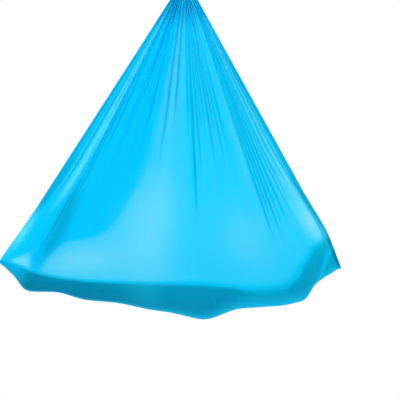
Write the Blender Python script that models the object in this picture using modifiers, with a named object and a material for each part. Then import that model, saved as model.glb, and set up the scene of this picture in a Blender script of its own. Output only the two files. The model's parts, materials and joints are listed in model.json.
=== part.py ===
"""Aerial hammock: ceiling fitting, three screw-gate carabiners, ball bearing swivel and one hung cloth.

Metres, +Z up. The origin is the middle of the ceiling plate's top face, and everything hangs below it.
The hammock spreads along X, and its front ply lies towards -Y.
"""

import math

import bmesh
import bpy
from mathutils import Matrix, Vector

# Clearances
GAP = 0.0003
OVERRUN = 0.004

# Ceiling plate and its two ears
PLATE_SIDE = 0.100
PLATE_THICKNESS = 0.006
PLATE_CORNER = 0.012
SCREW_SPACING = 0.070
SCREW_HOLE_RADIUS = 0.005
EAR_THICKNESS = 0.008
EAR_RADIUS = 0.018
EAR_FOOT_WIDTH = 0.050
EAR_SPACE = 0.024
PIVOT_DROP = 0.035

# Pivot bolt, its nut, washers and bushes
BOLT_RADIUS = 0.006
BOLT_FLATS = 0.019
BOLT_HEAD_HEIGHT = 0.0075
BOLT_TIP = 0.003
NUT_HEIGHT = 0.010
WASHER_RADIUS = 0.012
WASHER_THICKNESS = 0.002
BUSH_WALL = 0.002
BUSH_FLANGE_THICKNESS = 0.0015
BUSH_FLANGE_RADIUS = 0.012

# Swing eye
EYE_BARREL_RADIUS = 0.015
EYE_HOLE_RADIUS = 0.016
EYE_BAR_RADIUS = 0.006

# Carabiner, an oval of round bar
BAR_RADIUS = 0.006
OVAL_HALF_WIDTH = 0.025
OVAL_SIDE_LENGTH = 0.048
RIVET_RADIUS = 0.0015
# Straight bar left between the foot of the oval's side and the hinge
HINGE_ROOT = 0.0007
HINGE_TONGUE_THICKNESS = 0.005
HINGE_TONGUE_INSET = 0.0005
HINGE_TONGUE_RADIUS = BAR_RADIUS - HINGE_TONGUE_INSET
NOSE_TONGUE_THICKNESS = 0.004
NOSE_TONGUE_WIDTH = 0.008
NOSE_TONGUE_LENGTH = 0.0066
NOSE_CLEARANCE = 0.0006
GATE_CHAMFER = 0.001
GATE_BORE_RADIUS = 0.0028
GATE_BORE_DEPTH = 0.015
PLUNGER_LENGTH = 0.0057
SPRING_WIRE_RADIUS = 0.0004
SPRING_TURNS = 4
SLEEVE_WALL = 0.0027
SLEEVE_LENGTH = 0.020
SLEEVE_CHAMFER = 0.0015
SLEEVE_FLUTES = 12
SLEEVE_FLUTE_DEPTH = 0.0006
# The unlocked sleeve stays this far below the nose's tongue, so that it swings in under it
SLEEVE_SWING_CLEARANCE = 0.0016

# Ball bearing swivel
SWIVEL_RING_HOLE_RADIUS = 0.014
SWIVEL_RING_BAR_RADIUS = 0.006
HOUSING_RADIUS = 0.019
HOUSING_WALL = 0.004
HOUSING_ROOF = 0.008
HOUSING_HEIGHT = 0.040
HOUSING_CHAMFER = 0.0015
RING_SINK = 0.004
STEM_RADIUS = 0.006
STEM_CLEARANCE = 0.0006
SWIVEL_NUT_FLATS = 0.018
SWIVEL_NUT_HEIGHT = 0.008
SWIVEL_NUT_HEADROOM = 0.0021
RACE_THICKNESS = 0.003
RACE_CLEARANCE = 0.0008
RACE_RADIUS = HOUSING_RADIUS - HOUSING_WALL - RACE_CLEARANCE
BALL_RADIUS = 0.0025
BALL_COUNT = 8
CAGE_THICKNESS = 0.0012
CAGE_INSET = 0.0006
CAP_FLANGE_THICKNESS = 0.003
COLLAR_RADIUS = 0.010
COLLAR_HEIGHT = 0.004
LOOP_BAR_RADIUS = 0.006
LOOP_HALF_WIDTH = 0.024
LOOP_HEIGHT = 0.034
LOOP_CORNER = 0.012

# Hitch: one gathered end of the cloth over a carabiner, wrapped twice round itself
SADDLE_THICKNESS = 0.016
SADDLE_WIDTH = 0.034
SADDLE_LEG = 0.034
WRAP_RADIUS = 0.005
WRAP_BITE = 0.002
WRAP_TURNS = 2
WRAP_PITCH = 0.0112
WRAP_DROP = 0.020
HITCH_LENGTH = 0.077
NECK_BELOW_BAR = 0.0067
NECK_TOP_WIDTH = 0.040
NECK_TOP_THICKNESS = 0.036
TAIL_LENGTH = 0.078
TAIL_WIDTH = 0.046
TAIL_THICKNESS = 0.006
# The tail's shares: length, width, and how far it stands out from the wraps
TAIL_SHARES = (
    (0.00, 0.50, 0.00),
    (0.35, 0.62, 0.35),
    (0.70, 0.86, 0.30),
    (1.00, 1.00, 0.45),
)

# The two lower carabiners, splayed by the width of the cloth's hitches
LOWER_TOP_CLEARANCE = 0.003
HITCH_CLEARANCE = 0.0007
HITCH_HALF_DEPTH = BAR_RADIUS + GAP + SADDLE_THICKNESS + 2 * WRAP_RADIUS - WRAP_BITE
LOWER_TOP_OFFSET = BAR_RADIUS + LOWER_TOP_CLEARANCE
LOWER_FOOT_OFFSET = HITCH_HALF_DEPTH + HITCH_CLEARANCE

# Cloth, hung from the point where its edges would meet. An edge's share is its reach over its drop.
NECK_DROP = 0.050
CLOTH_DROP = 1.7564
LEFT_EDGE_SHARE = 0.6525
RIGHT_EDGE_SHARE = 0.5555
RIGHT_TIP_SHARE = 0.5370
POD_DEPTH = 0.430
PLY_THICKNESS = 0.0012
FLAP_THICKNESS = 0.0008
NECK_THICKNESS = 0.022
FOLD_COUNT = 15
FOLD_HEIGHT = 0.016
EDGE_ROLL = 0.005
PLY_ROWS = 6
SEAT_ROWS = 6
# Above 1, the rows of a ply crowd together towards the neck
ROW_CROWDING_SHARE = 1.35

# Height shares of the cloth by slope share: rim and lowest line over the drop, half depth over the depth.
# A slope share of -1 is the left edge, 0 is plumb and 1 is the right edge.
CLOTH_SHARES = (
    (-1.000, 0.822, 0.831, 0.11),
    (-0.928, 0.831, 0.854, 0.15),
    (-0.862, 0.842, 0.877, 0.18),
    (-0.791, 0.856, 0.912, 0.21),
    (-0.754, 0.861, 0.918, 0.23),
    (-0.629, 0.875, 0.918, 0.26),
    (-0.459, 0.884, 0.943, 0.30),
    (-0.345, 0.886, 0.948, 0.33),
    (-0.115, 0.888, 0.974, 0.40),
    (0.104, 0.889, 1.000, 0.47),
    (0.298, 0.898, 0.966, 0.50),
    (0.520, 0.886, 0.959, 0.50),
    (0.662, 0.876, 0.945, 0.48),
    (0.772, 0.825, 0.892, 0.45),
    (0.862, 0.790, 0.872, 0.41),
    (1.000, 0.758, 0.848, 0.35),
)
# The free edge of the left flap inside each ply: drop share, slope share
LEFT_FLAP_SHARES = (
    (0.00, -0.268),
    (0.17, -0.268),
    (0.52, -0.303),
    (0.60, -0.337),
    (0.66, -0.405),
    (0.73, -0.460),
    (0.76, -0.528),
    (0.775, -0.672),
    (0.82, -0.905),
)
RIGHT_FLAP_SHARE = 0.085
# Where the folds have died out, as a share of the rim's drop
FOLD_END_SHARE = 0.86
FOLD_FULL_SHARE = 0.20
# How far down the right edge starts to turn in towards its tip
EDGE_TURN_SHARE = 0.708
# The cloth tapers from the neck's thickness to the ply's over this share of the drop
NECK_TAPER_SHARE = 0.22

# Roundness
ROUND_STEPS = 20
RING_STEPS = 24
RING_SIDES = 12
BAR_SIDES_SETTING = 4
ARC_STEPS = 9
WRAP_STEPS = 14
SMALL_ROUND_STEPS = 12
SPRING_STEPS = 8

STEEL = (0.62, 0.63, 0.65)
DARK_STEEL = (0.30, 0.31, 0.33)
BRONZE = (0.55, 0.36, 0.16)
CYAN = (0.02, 0.56, 0.90)

# Heights that follow from the sizes above, each from the piece that carries it
PIVOT_Z = -PIVOT_DROP
EYE_RING_Z = PIVOT_Z - EYE_BARREL_RADIUS - EYE_HOLE_RADIUS
EYE_BAR_Z = EYE_RING_Z - EYE_HOLE_RADIUS - EYE_BAR_RADIUS
OVAL_HEIGHT = OVAL_SIDE_LENGTH + 2 * OVAL_HALF_WIDTH
UPPER_TOP_Z = EYE_BAR_Z + EYE_BAR_RADIUS + GAP + BAR_RADIUS
UPPER_FOOT_Z = UPPER_TOP_Z - OVAL_HEIGHT
SWIVEL_BAR_Z = UPPER_FOOT_Z + BAR_RADIUS + GAP + SWIVEL_RING_BAR_RADIUS
SWIVEL_RING_Z = SWIVEL_BAR_Z - SWIVEL_RING_BAR_RADIUS - SWIVEL_RING_HOLE_RADIUS
HOUSING_TOP_Z = SWIVEL_RING_Z - SWIVEL_RING_HOLE_RADIUS - 2 * SWIVEL_RING_BAR_RADIUS + RING_SINK
HOUSING_FOOT_Z = HOUSING_TOP_Z - HOUSING_HEIGHT
SWIVEL_NUT_TOP_Z = HOUSING_TOP_Z - HOUSING_ROOF - SWIVEL_NUT_HEADROOM
UPPER_RACE_TOP_Z = SWIVEL_NUT_TOP_Z - SWIVEL_NUT_HEIGHT - GAP
BALL_Z = UPPER_RACE_TOP_Z - RACE_THICKNESS - GAP - BALL_RADIUS
LOWER_RACE_TOP_Z = BALL_Z - BALL_RADIUS - GAP
CAP_TOP_Z = LOWER_RACE_TOP_Z - RACE_THICKNESS - GAP
CAP_FOOT_Z = HOUSING_FOOT_Z - GAP - CAP_FLANGE_THICKNESS
COLLAR_TOP_Z = CAP_FOOT_Z - GAP
LOOP_TOP_Z = COLLAR_TOP_Z - COLLAR_HEIGHT - LOOP_BAR_RADIUS / 2
LOOP_BAR_Z = LOOP_TOP_Z - LOOP_HEIGHT
LOWER_TOP_Z = LOOP_BAR_Z + LOOP_BAR_RADIUS + GAP + BAR_RADIUS
SPLAY = math.asin((LOWER_FOOT_OFFSET - LOWER_TOP_OFFSET) / OVAL_HEIGHT)
LOWER_FOOT_Z = LOWER_TOP_Z - OVAL_HEIGHT * math.cos(SPLAY)
NECK_FOOT_Z = LOWER_FOOT_Z - HITCH_LENGTH
APEX_Z = NECK_FOOT_Z - GAP + NECK_DROP

# Heights inside a carabiner, measured from the middle of its oval
SIDE_TOP = OVAL_SIDE_LENGTH / 2
RIVET_HEIGHT = -SIDE_TOP + HINGE_ROOT + BAR_RADIUS + GAP
HINGE_END = RIVET_HEIGHT - BAR_RADIUS - GAP
NOSE_END = SIDE_TOP - GATE_CHAMFER
GATE_TOP = NOSE_END - NOSE_CLEARANCE
SLOT_ROOF = RIVET_HEIGHT + HINGE_TONGUE_RADIUS + 2 * GAP
NOSE_SLOT_FLOOR = NOSE_END - NOSE_TONGUE_LENGTH - 3 * GAP


def collection(name):
    """A new collection in the scene."""
    made = bpy.data.collections.new(name)
    bpy.context.scene.collection.children.link(made)
    return made


def material(name, color, roughness, metallic):
    """A Principled material of its own for one part."""
    made = bpy.data.materials.new(name)
    made.use_nodes = True
    shader = made.node_tree.nodes["Principled BSDF"]
    shader.inputs["Base Color"].default_value = (*color, 1)
    shader.inputs["Roughness"].default_value = roughness
    shader.inputs["Metallic"].default_value = metallic
    return made


def part(name, mesh, finish, place=None):
    """A named part with its own material, at its place."""
    made = bpy.data.objects.new(name, mesh)
    PARTS.objects.link(made)
    made.matrix_world = place or Matrix()
    color, roughness, metallic = finish
    mesh_material = material(name, color, roughness, metallic)
    if mesh.materials:
        made.material_slots[0].link = "OBJECT"
        made.material_slots[0].material = mesh_material
    else:
        mesh.materials.append(mesh_material)
    return made


def helper(name, mesh, place=None):
    """A cutter, a joined shape or a pattern: shown as wire, and not a part."""
    made = bpy.data.objects.new(name, mesh)
    CUTTERS.objects.link(made)
    made.matrix_world = place or Matrix()
    made.hide_render = True
    made.display_type = "WIRE"
    return made


def smooth(mesh):
    """Round faces shaded smooth, with the sharp edges kept."""
    mesh.shade_smooth()
    mesh.set_sharp_from_angle(angle=math.radians(40))
    return mesh


def from_bmesh(name, shape):
    mesh = bpy.data.meshes.new(name)
    shape.to_mesh(mesh)
    shape.free()
    return mesh


def turn_to(axis):
    """The turn that lays +Z along X, Y or Z."""
    quarter = math.pi / 2
    turns = {"X": Matrix.Rotation(quarter, 4, "Y"), "Y": Matrix.Rotation(-quarter, 4, "X"), "Z": Matrix()}
    return turns[axis]


def cylinder(name, radius, length, axis="Z", centre=(0, 0, 0), sides=ROUND_STEPS):
    shape = bmesh.new()
    bmesh.ops.create_cone(shape, cap_ends=True, segments=sides, radius1=radius, radius2=radius, depth=length)
    bmesh.ops.transform(shape, matrix=Matrix.Translation(centre) @ turn_to(axis), verts=shape.verts)
    return smooth(from_bmesh(name, shape))


def box(name, size, centre=(0, 0, 0)):
    shape = bmesh.new()
    bmesh.ops.create_cube(shape, size=1)
    bmesh.ops.scale(shape, vec=size, verts=shape.verts)
    bmesh.ops.translate(shape, vec=centre, verts=shape.verts)
    return from_bmesh(name, shape)


def ring_bar(name, radius, bar_radius, centre):
    """A round bar bent into a ring in the YZ plane."""
    shape = bmesh.new()
    made = bmesh.ops.create_circle(shape, segments=RING_SIDES, radius=bar_radius)
    upright = Matrix.Translation((radius, 0, 0)) @ Matrix.Rotation(math.pi / 2, 4, "X")
    bmesh.ops.transform(shape, matrix=upright, verts=made["verts"])
    bmesh.ops.spin(
        shape,
        geom=shape.verts[:] + shape.edges[:],
        cent=(0, 0, 0),
        axis=(0, 0, 1),
        angle=2 * math.pi,
        steps=RING_STEPS,
        use_merge=True,
    )
    bmesh.ops.remove_doubles(shape, verts=shape.verts, dist=GAP / 100)
    bmesh.ops.recalc_face_normals(shape, faces=shape.faces)
    bmesh.ops.transform(shape, matrix=Matrix.Translation(centre) @ turn_to("X"), verts=shape.verts)
    return smooth(from_bmesh(name, shape))


def lathe(made, steps=ROUND_STEPS):
    """Turns an object's profile about Z with a Screw modifier."""
    screw = made.modifiers.new("Turned", "SCREW")
    screw.steps = steps
    screw.render_steps = steps
    screw.use_merge_vertices = True
    screw.merge_threshold = GAP / 100
    return made


def profile(name, points, closed=False):
    """An outline in the XZ plane that runs top to bottom down its outer side."""
    shape = bmesh.new()
    corners = [shape.verts.new((radius, 0, height)) for radius, height in points]
    for first, second in zip(corners, corners[1:]):
        shape.edges.new((first, second))
    if closed:
        shape.edges.new((corners[-1], corners[0]))
    return from_bmesh(name, shape)


def tube_profile(name, outer, inner, top, foot, chamfer=0.0):
    """The closed outline of a sleeve, with its outer corners taken off."""
    points = [(inner, top), (outer - chamfer, top), (outer, top - chamfer)]
    points += [(outer, foot + chamfer), (outer - chamfer, foot), (inner, foot)]
    if not chamfer:
        points = [(inner, top), (outer, top), (outer, foot), (inner, foot)]
    return profile(name, points, closed=True)


def evaluated_mesh(made, name):
    """The mesh that an object's modifiers or bevel give, with loose caps welded."""
    bpy.context.view_layer.update()
    graph = bpy.context.evaluated_depsgraph_get()
    mesh = bpy.data.meshes.new_from_object(made.evaluated_get(graph), depsgraph=graph)
    mesh.name = name
    shape = bmesh.new()
    shape.from_mesh(mesh)
    bmesh.ops.remove_doubles(shape, verts=shape.verts, dist=GAP / 1000)
    shape.to_mesh(mesh)
    shape.free()
    return smooth(mesh)


def bent_bar(name, points, radius, sides_setting=BAR_SIDES_SETTING, closed=False, stretch=(1, 1, 1)):
    """A round bar along points, made a mesh so that it can be cut and joined."""
    curve = bpy.data.curves.new(name, "CURVE")
    curve.dimensions = "3D"
    curve.bevel_depth = radius
    curve.bevel_resolution = sides_setting
    curve.use_fill_caps = not closed
    line = curve.splines.new("POLY")
    line.points.add(len(points) - 1)
    for point, place in zip(line.points, points):
        point.co = (*place, 1)
    line.use_cyclic_u = closed
    made = bpy.data.objects.new(name, curve)
    CUTTERS.objects.link(made)
    mesh = evaluated_mesh(made, name)
    bpy.data.objects.remove(made)
    mesh.transform(Matrix.Diagonal((*stretch, 1)))
    return mesh


def joined(made, others, operation):
    """Unites a part with other shapes, or cuts them from it."""
    for other in others:
        step = made.modifiers.new(other.name, "BOOLEAN")
        step.operation = operation
        step.solver = "EXACT"
        step.object = other
    return made


def arc(centre, radius, start, end, steps):
    """Points on an arc in the XZ plane, with angles from +X towards +Z."""
    angles = [start + (end - start) * step / steps for step in range(steps + 1)]
    return [(centre[0] + radius * math.cos(a), 0, centre[1] + radius * math.sin(a)) for a in angles]


def loft(name, sections, thin=False):
    """A closed solid through closed sections of equal counts.

    A thin wall's outer and inner faces are split along matching diagonals, so that they can't cross.
    """
    shape = bmesh.new()
    rings = [[shape.verts.new(point) for point in section] for section in sections]
    count = len(rings[0])
    half = count // 2
    for ring, following in zip(rings, rings[1:]):
        for index in range(count):
            after = (index + 1) % count
            first, second, third, fourth = ring[index], ring[after], following[after], following[index]
            if not thin:
                shape.faces.new((first, second, third, fourth))
            elif index < half:
                shape.faces.new((first, second, third))
                shape.faces.new((first, third, fourth))
            else:
                shape.faces.new((second, third, fourth))
                shape.faces.new((first, second, fourth))
    for ring in (rings[0], rings[-1]):
        for index in range(half - 1):
            mate = count - 1 - index
            shape.faces.new((ring[index], ring[index + 1], ring[mate - 1], ring[mate]))
    bmesh.ops.recalc_face_normals(shape, faces=shape.faces)
    return from_bmesh(name, shape)


def ceiling_plate():
    """A welded plate: four screw holes, and two ears that take the pivot bolt."""
    shape = bmesh.new()
    bmesh.ops.create_cube(shape, size=1)
    bmesh.ops.scale(shape, vec=(PLATE_SIDE, PLATE_SIDE, PLATE_THICKNESS), verts=shape.verts)
    bmesh.ops.translate(shape, vec=(0, 0, -PLATE_THICKNESS / 2), verts=shape.verts)
    upright = [edge for edge in shape.edges if abs(edge.verts[0].co.z - edge.verts[1].co.z) > GAP]
    bmesh.ops.bevel(
        shape, geom=upright, offset=PLATE_CORNER, segments=4, profile=0.5, affect="EDGES", material=-1
    )
    made = part("ceiling_plate", from_bmesh("ceiling_plate", shape), (STEEL, 0.35, 1.0))
    ear_x = (EAR_SPACE + EAR_THICKNESS) / 2
    ear_height = PIVOT_DROP - PLATE_THICKNESS / 2
    additions = []
    for side, label in ((-1, "left"), (1, "right")):
        name = f"ear_{label}"
        foot_half = EAR_FOOT_WIDTH / 2
        sections = []
        for height, half in ((-ear_height, EAR_RADIUS), (0, foot_half)):
            level = -PLATE_THICKNESS / 2 + height
            inside = side * ear_x - EAR_THICKNESS / 2
            outside = side * ear_x + EAR_THICKNESS / 2
            corners = [(inside, -half, level), (outside, -half, level), (outside, half, level)]
            sections.append([*corners, (inside, half, level)])
        additions.append(helper(name, loft(name, sections)))
        round_name = f"ear_round_{label}"
        centre = (side * ear_x, 0, PIVOT_Z)
        additions.append(helper(round_name, cylinder(round_name, EAR_RADIUS, EAR_THICKNESS, "X", centre)))
    joined(made, additions, "UNION")
    bolt_hole = cylinder(
        "ear_holes", BOLT_RADIUS + GAP, EAR_SPACE + 2 * EAR_THICKNESS + 2 * OVERRUN, "X", (0, 0, PIVOT_Z)
    )
    cuts = [helper("ear_holes", bolt_hole)]
    for row in (-1, 1):
        for column in (-1, 1):
            name = f"screw_hole_{'front' if row < 0 else 'rear'}_{'left' if column < 0 else 'right'}"
            centre = (column * SCREW_SPACING / 2, row * SCREW_SPACING / 2, -PLATE_THICKNESS / 2)
            length = PLATE_THICKNESS + 2 * OVERRUN
            hole = cylinder(name, SCREW_HOLE_RADIUS, length, "Z", centre, SMALL_ROUND_STEPS)
            cuts.append(helper(name, hole))
    joined(made, cuts, "DIFFERENCE")


def pivot_bolt():
    """The bolt along X with its nut and two washers."""
    bolt_finish = (STEEL, 0.3, 1.0)
    ear_face = EAR_SPACE / 2 + EAR_THICKNESS
    washer_middle = ear_face + GAP + WASHER_THICKNESS / 2
    seat = ear_face + 2 * GAP + WASHER_THICKNESS
    tip = seat + NUT_HEIGHT + BOLT_TIP
    length = tip + seat + OVERRUN
    middle = (tip - seat - OVERRUN) / 2
    shank = cylinder("pivot_bolt", BOLT_RADIUS, length, "X", (middle, 0, PIVOT_Z))
    bolt = part("pivot_bolt", shank, bolt_finish)
    hexagon = BOLT_FLATS / math.sqrt(3)
    head_middle = (-seat - BOLT_HEAD_HEIGHT / 2, 0, PIVOT_Z)
    head = cylinder("bolt_head", hexagon, BOLT_HEAD_HEIGHT, "X", head_middle, 6)
    joined(bolt, [helper("bolt_head", head)], "UNION")
    nut_middle = (seat + NUT_HEIGHT / 2, 0, PIVOT_Z)
    nut = part("pivot_nut", cylinder("pivot_nut", hexagon, NUT_HEIGHT, "X", nut_middle, 6), bolt_finish)
    bore = cylinder("nut_bore", BOLT_RADIUS + GAP, NUT_HEIGHT + 2 * OVERRUN, "X", nut_middle)
    joined(nut, [helper("nut_bore", bore)], "DIFFERENCE")
    for side, label in ((-1, "head_side"), (1, "nut_side")):
        name = f"pivot_washer_{label}"
        half = WASHER_THICKNESS / 2
        outline = tube_profile(name, WASHER_RADIUS, BOLT_RADIUS + GAP, half, -half)
        place = Matrix.Translation((side * washer_middle, 0, PIVOT_Z)) @ turn_to("X")
        lathe(part(name, outline, bolt_finish, place))


def pivot_bushes():
    """Two flanged bushes, one from each end of the swing eye's barrel."""
    barrel_half = EAR_SPACE / 2 - BUSH_FLANGE_THICKNESS - 2 * GAP
    inner = BOLT_RADIUS + GAP
    outer = inner + BUSH_WALL
    flange_foot = barrel_half + GAP
    flange_top = flange_foot + BUSH_FLANGE_THICKNESS
    points = [(inner, flange_top), (BUSH_FLANGE_RADIUS, flange_top), (BUSH_FLANGE_RADIUS, flange_foot)]
    points += [(outer, flange_foot), (outer, GAP), (inner, GAP)]
    for label, angle in (("left", math.pi), ("right", 0)):
        name = f"pivot_bush_{label}"
        place = Matrix.Translation((0, 0, PIVOT_Z)) @ Matrix.Rotation(angle, 4, "Z") @ turn_to("X")
        lathe(part(name, profile(name, points, closed=True), (BRONZE, 0.4, 1.0), place))
    return outer + GAP, barrel_half


def swing_eye(bore_radius, barrel_half):
    """A forged ring below the barrel that turns on the bushes."""
    barrel = cylinder("swing_eye", EYE_BARREL_RADIUS, 2 * barrel_half, "X", (0, 0, PIVOT_Z))
    made = part("swing_eye", barrel, (STEEL, 0.3, 1.0))
    ring_radius = EYE_HOLE_RADIUS + EYE_BAR_RADIUS
    ring = ring_bar("eye_ring", ring_radius, EYE_BAR_RADIUS, (0, 0, EYE_RING_Z))
    joined(made, [helper("eye_ring", ring)], "UNION")
    bore = cylinder("eye_bore", bore_radius, 2 * barrel_half + 2 * OVERRUN, "X", (0, 0, PIVOT_Z))
    joined(made, [helper("eye_bore", bore)], "DIFFERENCE")


def oval_points():
    """The bar's centre line, from the gate's hinge round the foot and spine to the nose."""
    half = OVAL_HALF_WIDTH
    points = [(half, 0, HINGE_END)]
    points += arc((0, -SIDE_TOP), half, 0, -math.pi, ARC_STEPS)
    points += arc((0, SIDE_TOP), half, math.pi, 0, ARC_STEPS)
    points += [(half, 0, NOSE_END)]
    return points


def frame_mesh():
    """The carabiner's frame, with a tongue for the hinge and one at the nose."""
    half = OVAL_HALF_WIDTH
    frame = helper("frame_pattern", bent_bar("frame_pattern", oval_points(), BAR_RADIUS))
    base = HINGE_END - BAR_RADIUS
    stalk_size = (2 * HINGE_TONGUE_RADIUS, HINGE_TONGUE_THICKNESS, RIVET_HEIGHT - base)
    stalk_centre = (half, 0, (RIVET_HEIGHT + base) / 2)
    stalk = helper("hinge_stalk", box("hinge_stalk", stalk_size, stalk_centre))
    rivet_centre = (half, 0, RIVET_HEIGHT)
    eye = cylinder("hinge_round", HINGE_TONGUE_RADIUS, HINGE_TONGUE_THICKNESS, "Y", rivet_centre)
    nose_top = NOSE_END + BAR_RADIUS / 2
    nose_foot = NOSE_END - NOSE_TONGUE_LENGTH
    nose_size = (NOSE_TONGUE_WIDTH, NOSE_TONGUE_THICKNESS, nose_top - nose_foot)
    nose_centre = (half, 0, (nose_top + nose_foot) / 2)
    nose = helper("nose_tongue", box("nose_tongue", nose_size, nose_centre))
    joined(frame, [stalk, helper("hinge_round", eye), nose], "UNION")
    hole_radius = RIVET_RADIUS + GAP
    hole = cylinder("frame_rivet_hole", hole_radius, 2 * OVERRUN, "Y", rivet_centre, SMALL_ROUND_STEPS)
    joined(frame, [helper("frame_rivet_hole", hole)], "DIFFERENCE")
    return evaluated_mesh(frame, "carabiner_frame")


def gate_mesh():
    """The gate: a round rod with a ball foot, forked over the hinge and slotted for the nose."""
    points = [(0, GATE_TOP), (BAR_RADIUS - GATE_CHAMFER, GATE_TOP), (BAR_RADIUS, GATE_TOP - GATE_CHAMFER)]
    ball_steps = 5
    for step in range(ball_steps):
        angle = math.pi / 2 * step / ball_steps
        points.append((BAR_RADIUS * math.cos(angle), RIVET_HEIGHT - BAR_RADIUS * math.sin(angle)))
    points.append((0, RIVET_HEIGHT - BAR_RADIUS))
    place = Matrix.Translation((OVAL_HALF_WIDTH, 0, 0))
    gate = helper("gate_pattern", profile("gate_pattern", points), place)
    lathe(gate)
    half = OVAL_HALF_WIDTH
    wide = 2 * BAR_RADIUS + 2 * OVERRUN
    slot_foot = RIVET_HEIGHT - BAR_RADIUS - OVERRUN
    slot_size = (wide, HINGE_TONGUE_THICKNESS + 2 * GAP, SLOT_ROOF - slot_foot)
    slot = box("hinge_slot", slot_size, (half, 0, (SLOT_ROOF + slot_foot) / 2))
    nose_roof = GATE_TOP + OVERRUN
    nose_size = (wide, NOSE_TONGUE_THICKNESS + 2 * GAP, nose_roof - NOSE_SLOT_FLOOR)
    nose_slot = box("nose_slot", nose_size, (half, 0, (nose_roof + NOSE_SLOT_FLOOR) / 2))
    bore_foot = RIVET_HEIGHT
    bore_top = SLOT_ROOF + GATE_BORE_DEPTH
    bore_centre = (half, 0, (bore_top + bore_foot) / 2)
    bore_length = bore_top - bore_foot
    bore = cylinder("gate_bore", GATE_BORE_RADIUS, bore_length, "Z", bore_centre, SMALL_ROUND_STEPS)
    hole_centre = (half, 0, RIVET_HEIGHT)
    hole = cylinder("gate_rivet_hole", RIVET_RADIUS + GAP, wide, "Y", hole_centre, SMALL_ROUND_STEPS)
    cuts = [("hinge_slot", slot), ("nose_slot", nose_slot), ("gate_bore", bore), ("gate_rivet_hole", hole)]
    joined(gate, [helper(name, mesh) for name, mesh in cuts], "DIFFERENCE")
    mesh = evaluated_mesh(gate, "carabiner_gate")
    mesh.transform(gate.matrix_world)
    return mesh


def rivet_mesh():
    length = 2 * BAR_RADIUS
    centre = (OVAL_HALF_WIDTH, 0, RIVET_HEIGHT)
    return cylinder("carabiner_rivet", RIVET_RADIUS, length, "Y", centre, SMALL_ROUND_STEPS)


def plunger_mesh():
    """The pin that the gate's spring presses on the hinge tongue."""
    foot = RIVET_HEIGHT + HINGE_TONGUE_RADIUS + GAP
    radius = GATE_BORE_RADIUS - GAP
    centre = (OVAL_HALF_WIDTH, 0, foot + PLUNGER_LENGTH / 2)
    return cylinder("carabiner_plunger", radius, PLUNGER_LENGTH, "Z", centre, SMALL_ROUND_STEPS)


def spring_mesh():
    """The gate's spring, one wound wire from the plunger to the end of the bore."""
    foot = RIVET_HEIGHT + HINGE_TONGUE_RADIUS + 2 * GAP + PLUNGER_LENGTH + SPRING_WIRE_RADIUS
    top = SLOT_ROOF + GATE_BORE_DEPTH - GAP - SPRING_WIRE_RADIUS
    radius = GATE_BORE_RADIUS - GAP - SPRING_WIRE_RADIUS
    count = SPRING_TURNS * SPRING_STEPS
    points = []
    for step in range(count + 1):
        angle = 2 * math.pi * step / SPRING_STEPS
        height = foot + (top - foot) * step / count
        points.append((OVAL_HALF_WIDTH + radius * math.cos(angle), radius * math.sin(angle), height))
    gaps = [
        (Vector(points[first]) - Vector(points[second])).length
        for first in range(count + 1)
        for second in range(first + SPRING_STEPS // 2, count + 1)
    ]
    print(f"least gap of a spring to itself {min(gaps) - 2 * SPRING_WIRE_RADIUS:.5f} m")
    return bent_bar("carabiner_spring", points, SPRING_WIRE_RADIUS, sides_setting=1)


def sleeve_mesh():
    """The fluted locking sleeve, stored unlocked on the gate."""
    inner = BAR_RADIUS + GAP
    outer = inner + SLEEVE_WALL
    top = NOSE_END - NOSE_TONGUE_LENGTH - SLEEVE_SWING_CLEARANCE
    foot = top - SLEEVE_LENGTH
    outline = tube_profile("sleeve_pattern", outer, inner, top, foot, SLEEVE_CHAMFER)
    sleeve = lathe(helper("sleeve_pattern", outline), 2 * SLEEVE_FLUTES)
    mesh = evaluated_mesh(sleeve, "carabiner_sleeve")
    for corner in mesh.vertices:
        radius = math.hypot(corner.co.x, corner.co.y)
        turn = round(math.atan2(corner.co.y, corner.co.x) * SLEEVE_FLUTES / math.pi)
        chamfered = min(top - corner.co.z, corner.co.z - foot) < SLEEVE_CHAMFER / 2
        if turn % 2 and radius > inner + GAP and not chamfered:
            corner.co.x -= SLEEVE_FLUTE_DEPTH * corner.co.x / radius
            corner.co.y -= SLEEVE_FLUTE_DEPTH * corner.co.y / radius
    mesh.transform(Matrix.Translation((OVAL_HALF_WIDTH, 0, 0)))
    return mesh


def carabiner_places():
    """Where each carabiner's oval has its middle, and how it is turned."""
    drop = Matrix.Translation((0, 0, -OVAL_HEIGHT / 2))
    upper = Matrix.Translation((0, 0, UPPER_TOP_Z)) @ drop
    front_top = Matrix.Translation((0, -LOWER_TOP_OFFSET, LOWER_TOP_Z))
    rear_top = Matrix.Translation((0, LOWER_TOP_OFFSET, LOWER_TOP_Z))
    front = front_top @ Matrix.Rotation(-SPLAY, 4, "X") @ drop
    rear = rear_top @ Matrix.Rotation(SPLAY, 4, "X") @ Matrix.Rotation(math.pi, 4, "Z") @ drop
    return {"upper": upper, "front": front, "rear": rear}


def carabiners(places):
    """Three alike; the rear one is turned round, so that the lower two gates face opposite ways."""
    pieces = {
        "frame": (frame_mesh(), (STEEL, 0.25, 1.0)),
        "gate": (gate_mesh(), (STEEL, 0.3, 1.0)),
        "rivet": (rivet_mesh(), (DARK_STEEL, 0.35, 1.0)),
        "plunger": (plunger_mesh(), (DARK_STEEL, 0.35, 1.0)),
        "spring": (spring_mesh(), (DARK_STEEL, 0.35, 1.0)),
        "sleeve": (sleeve_mesh(), (DARK_STEEL, 0.45, 1.0)),
    }
    for label, place in places.items():
        for piece, (mesh, finish) in pieces.items():
            part(f"{label}_carabiner_{piece}", mesh, finish, place)


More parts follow.
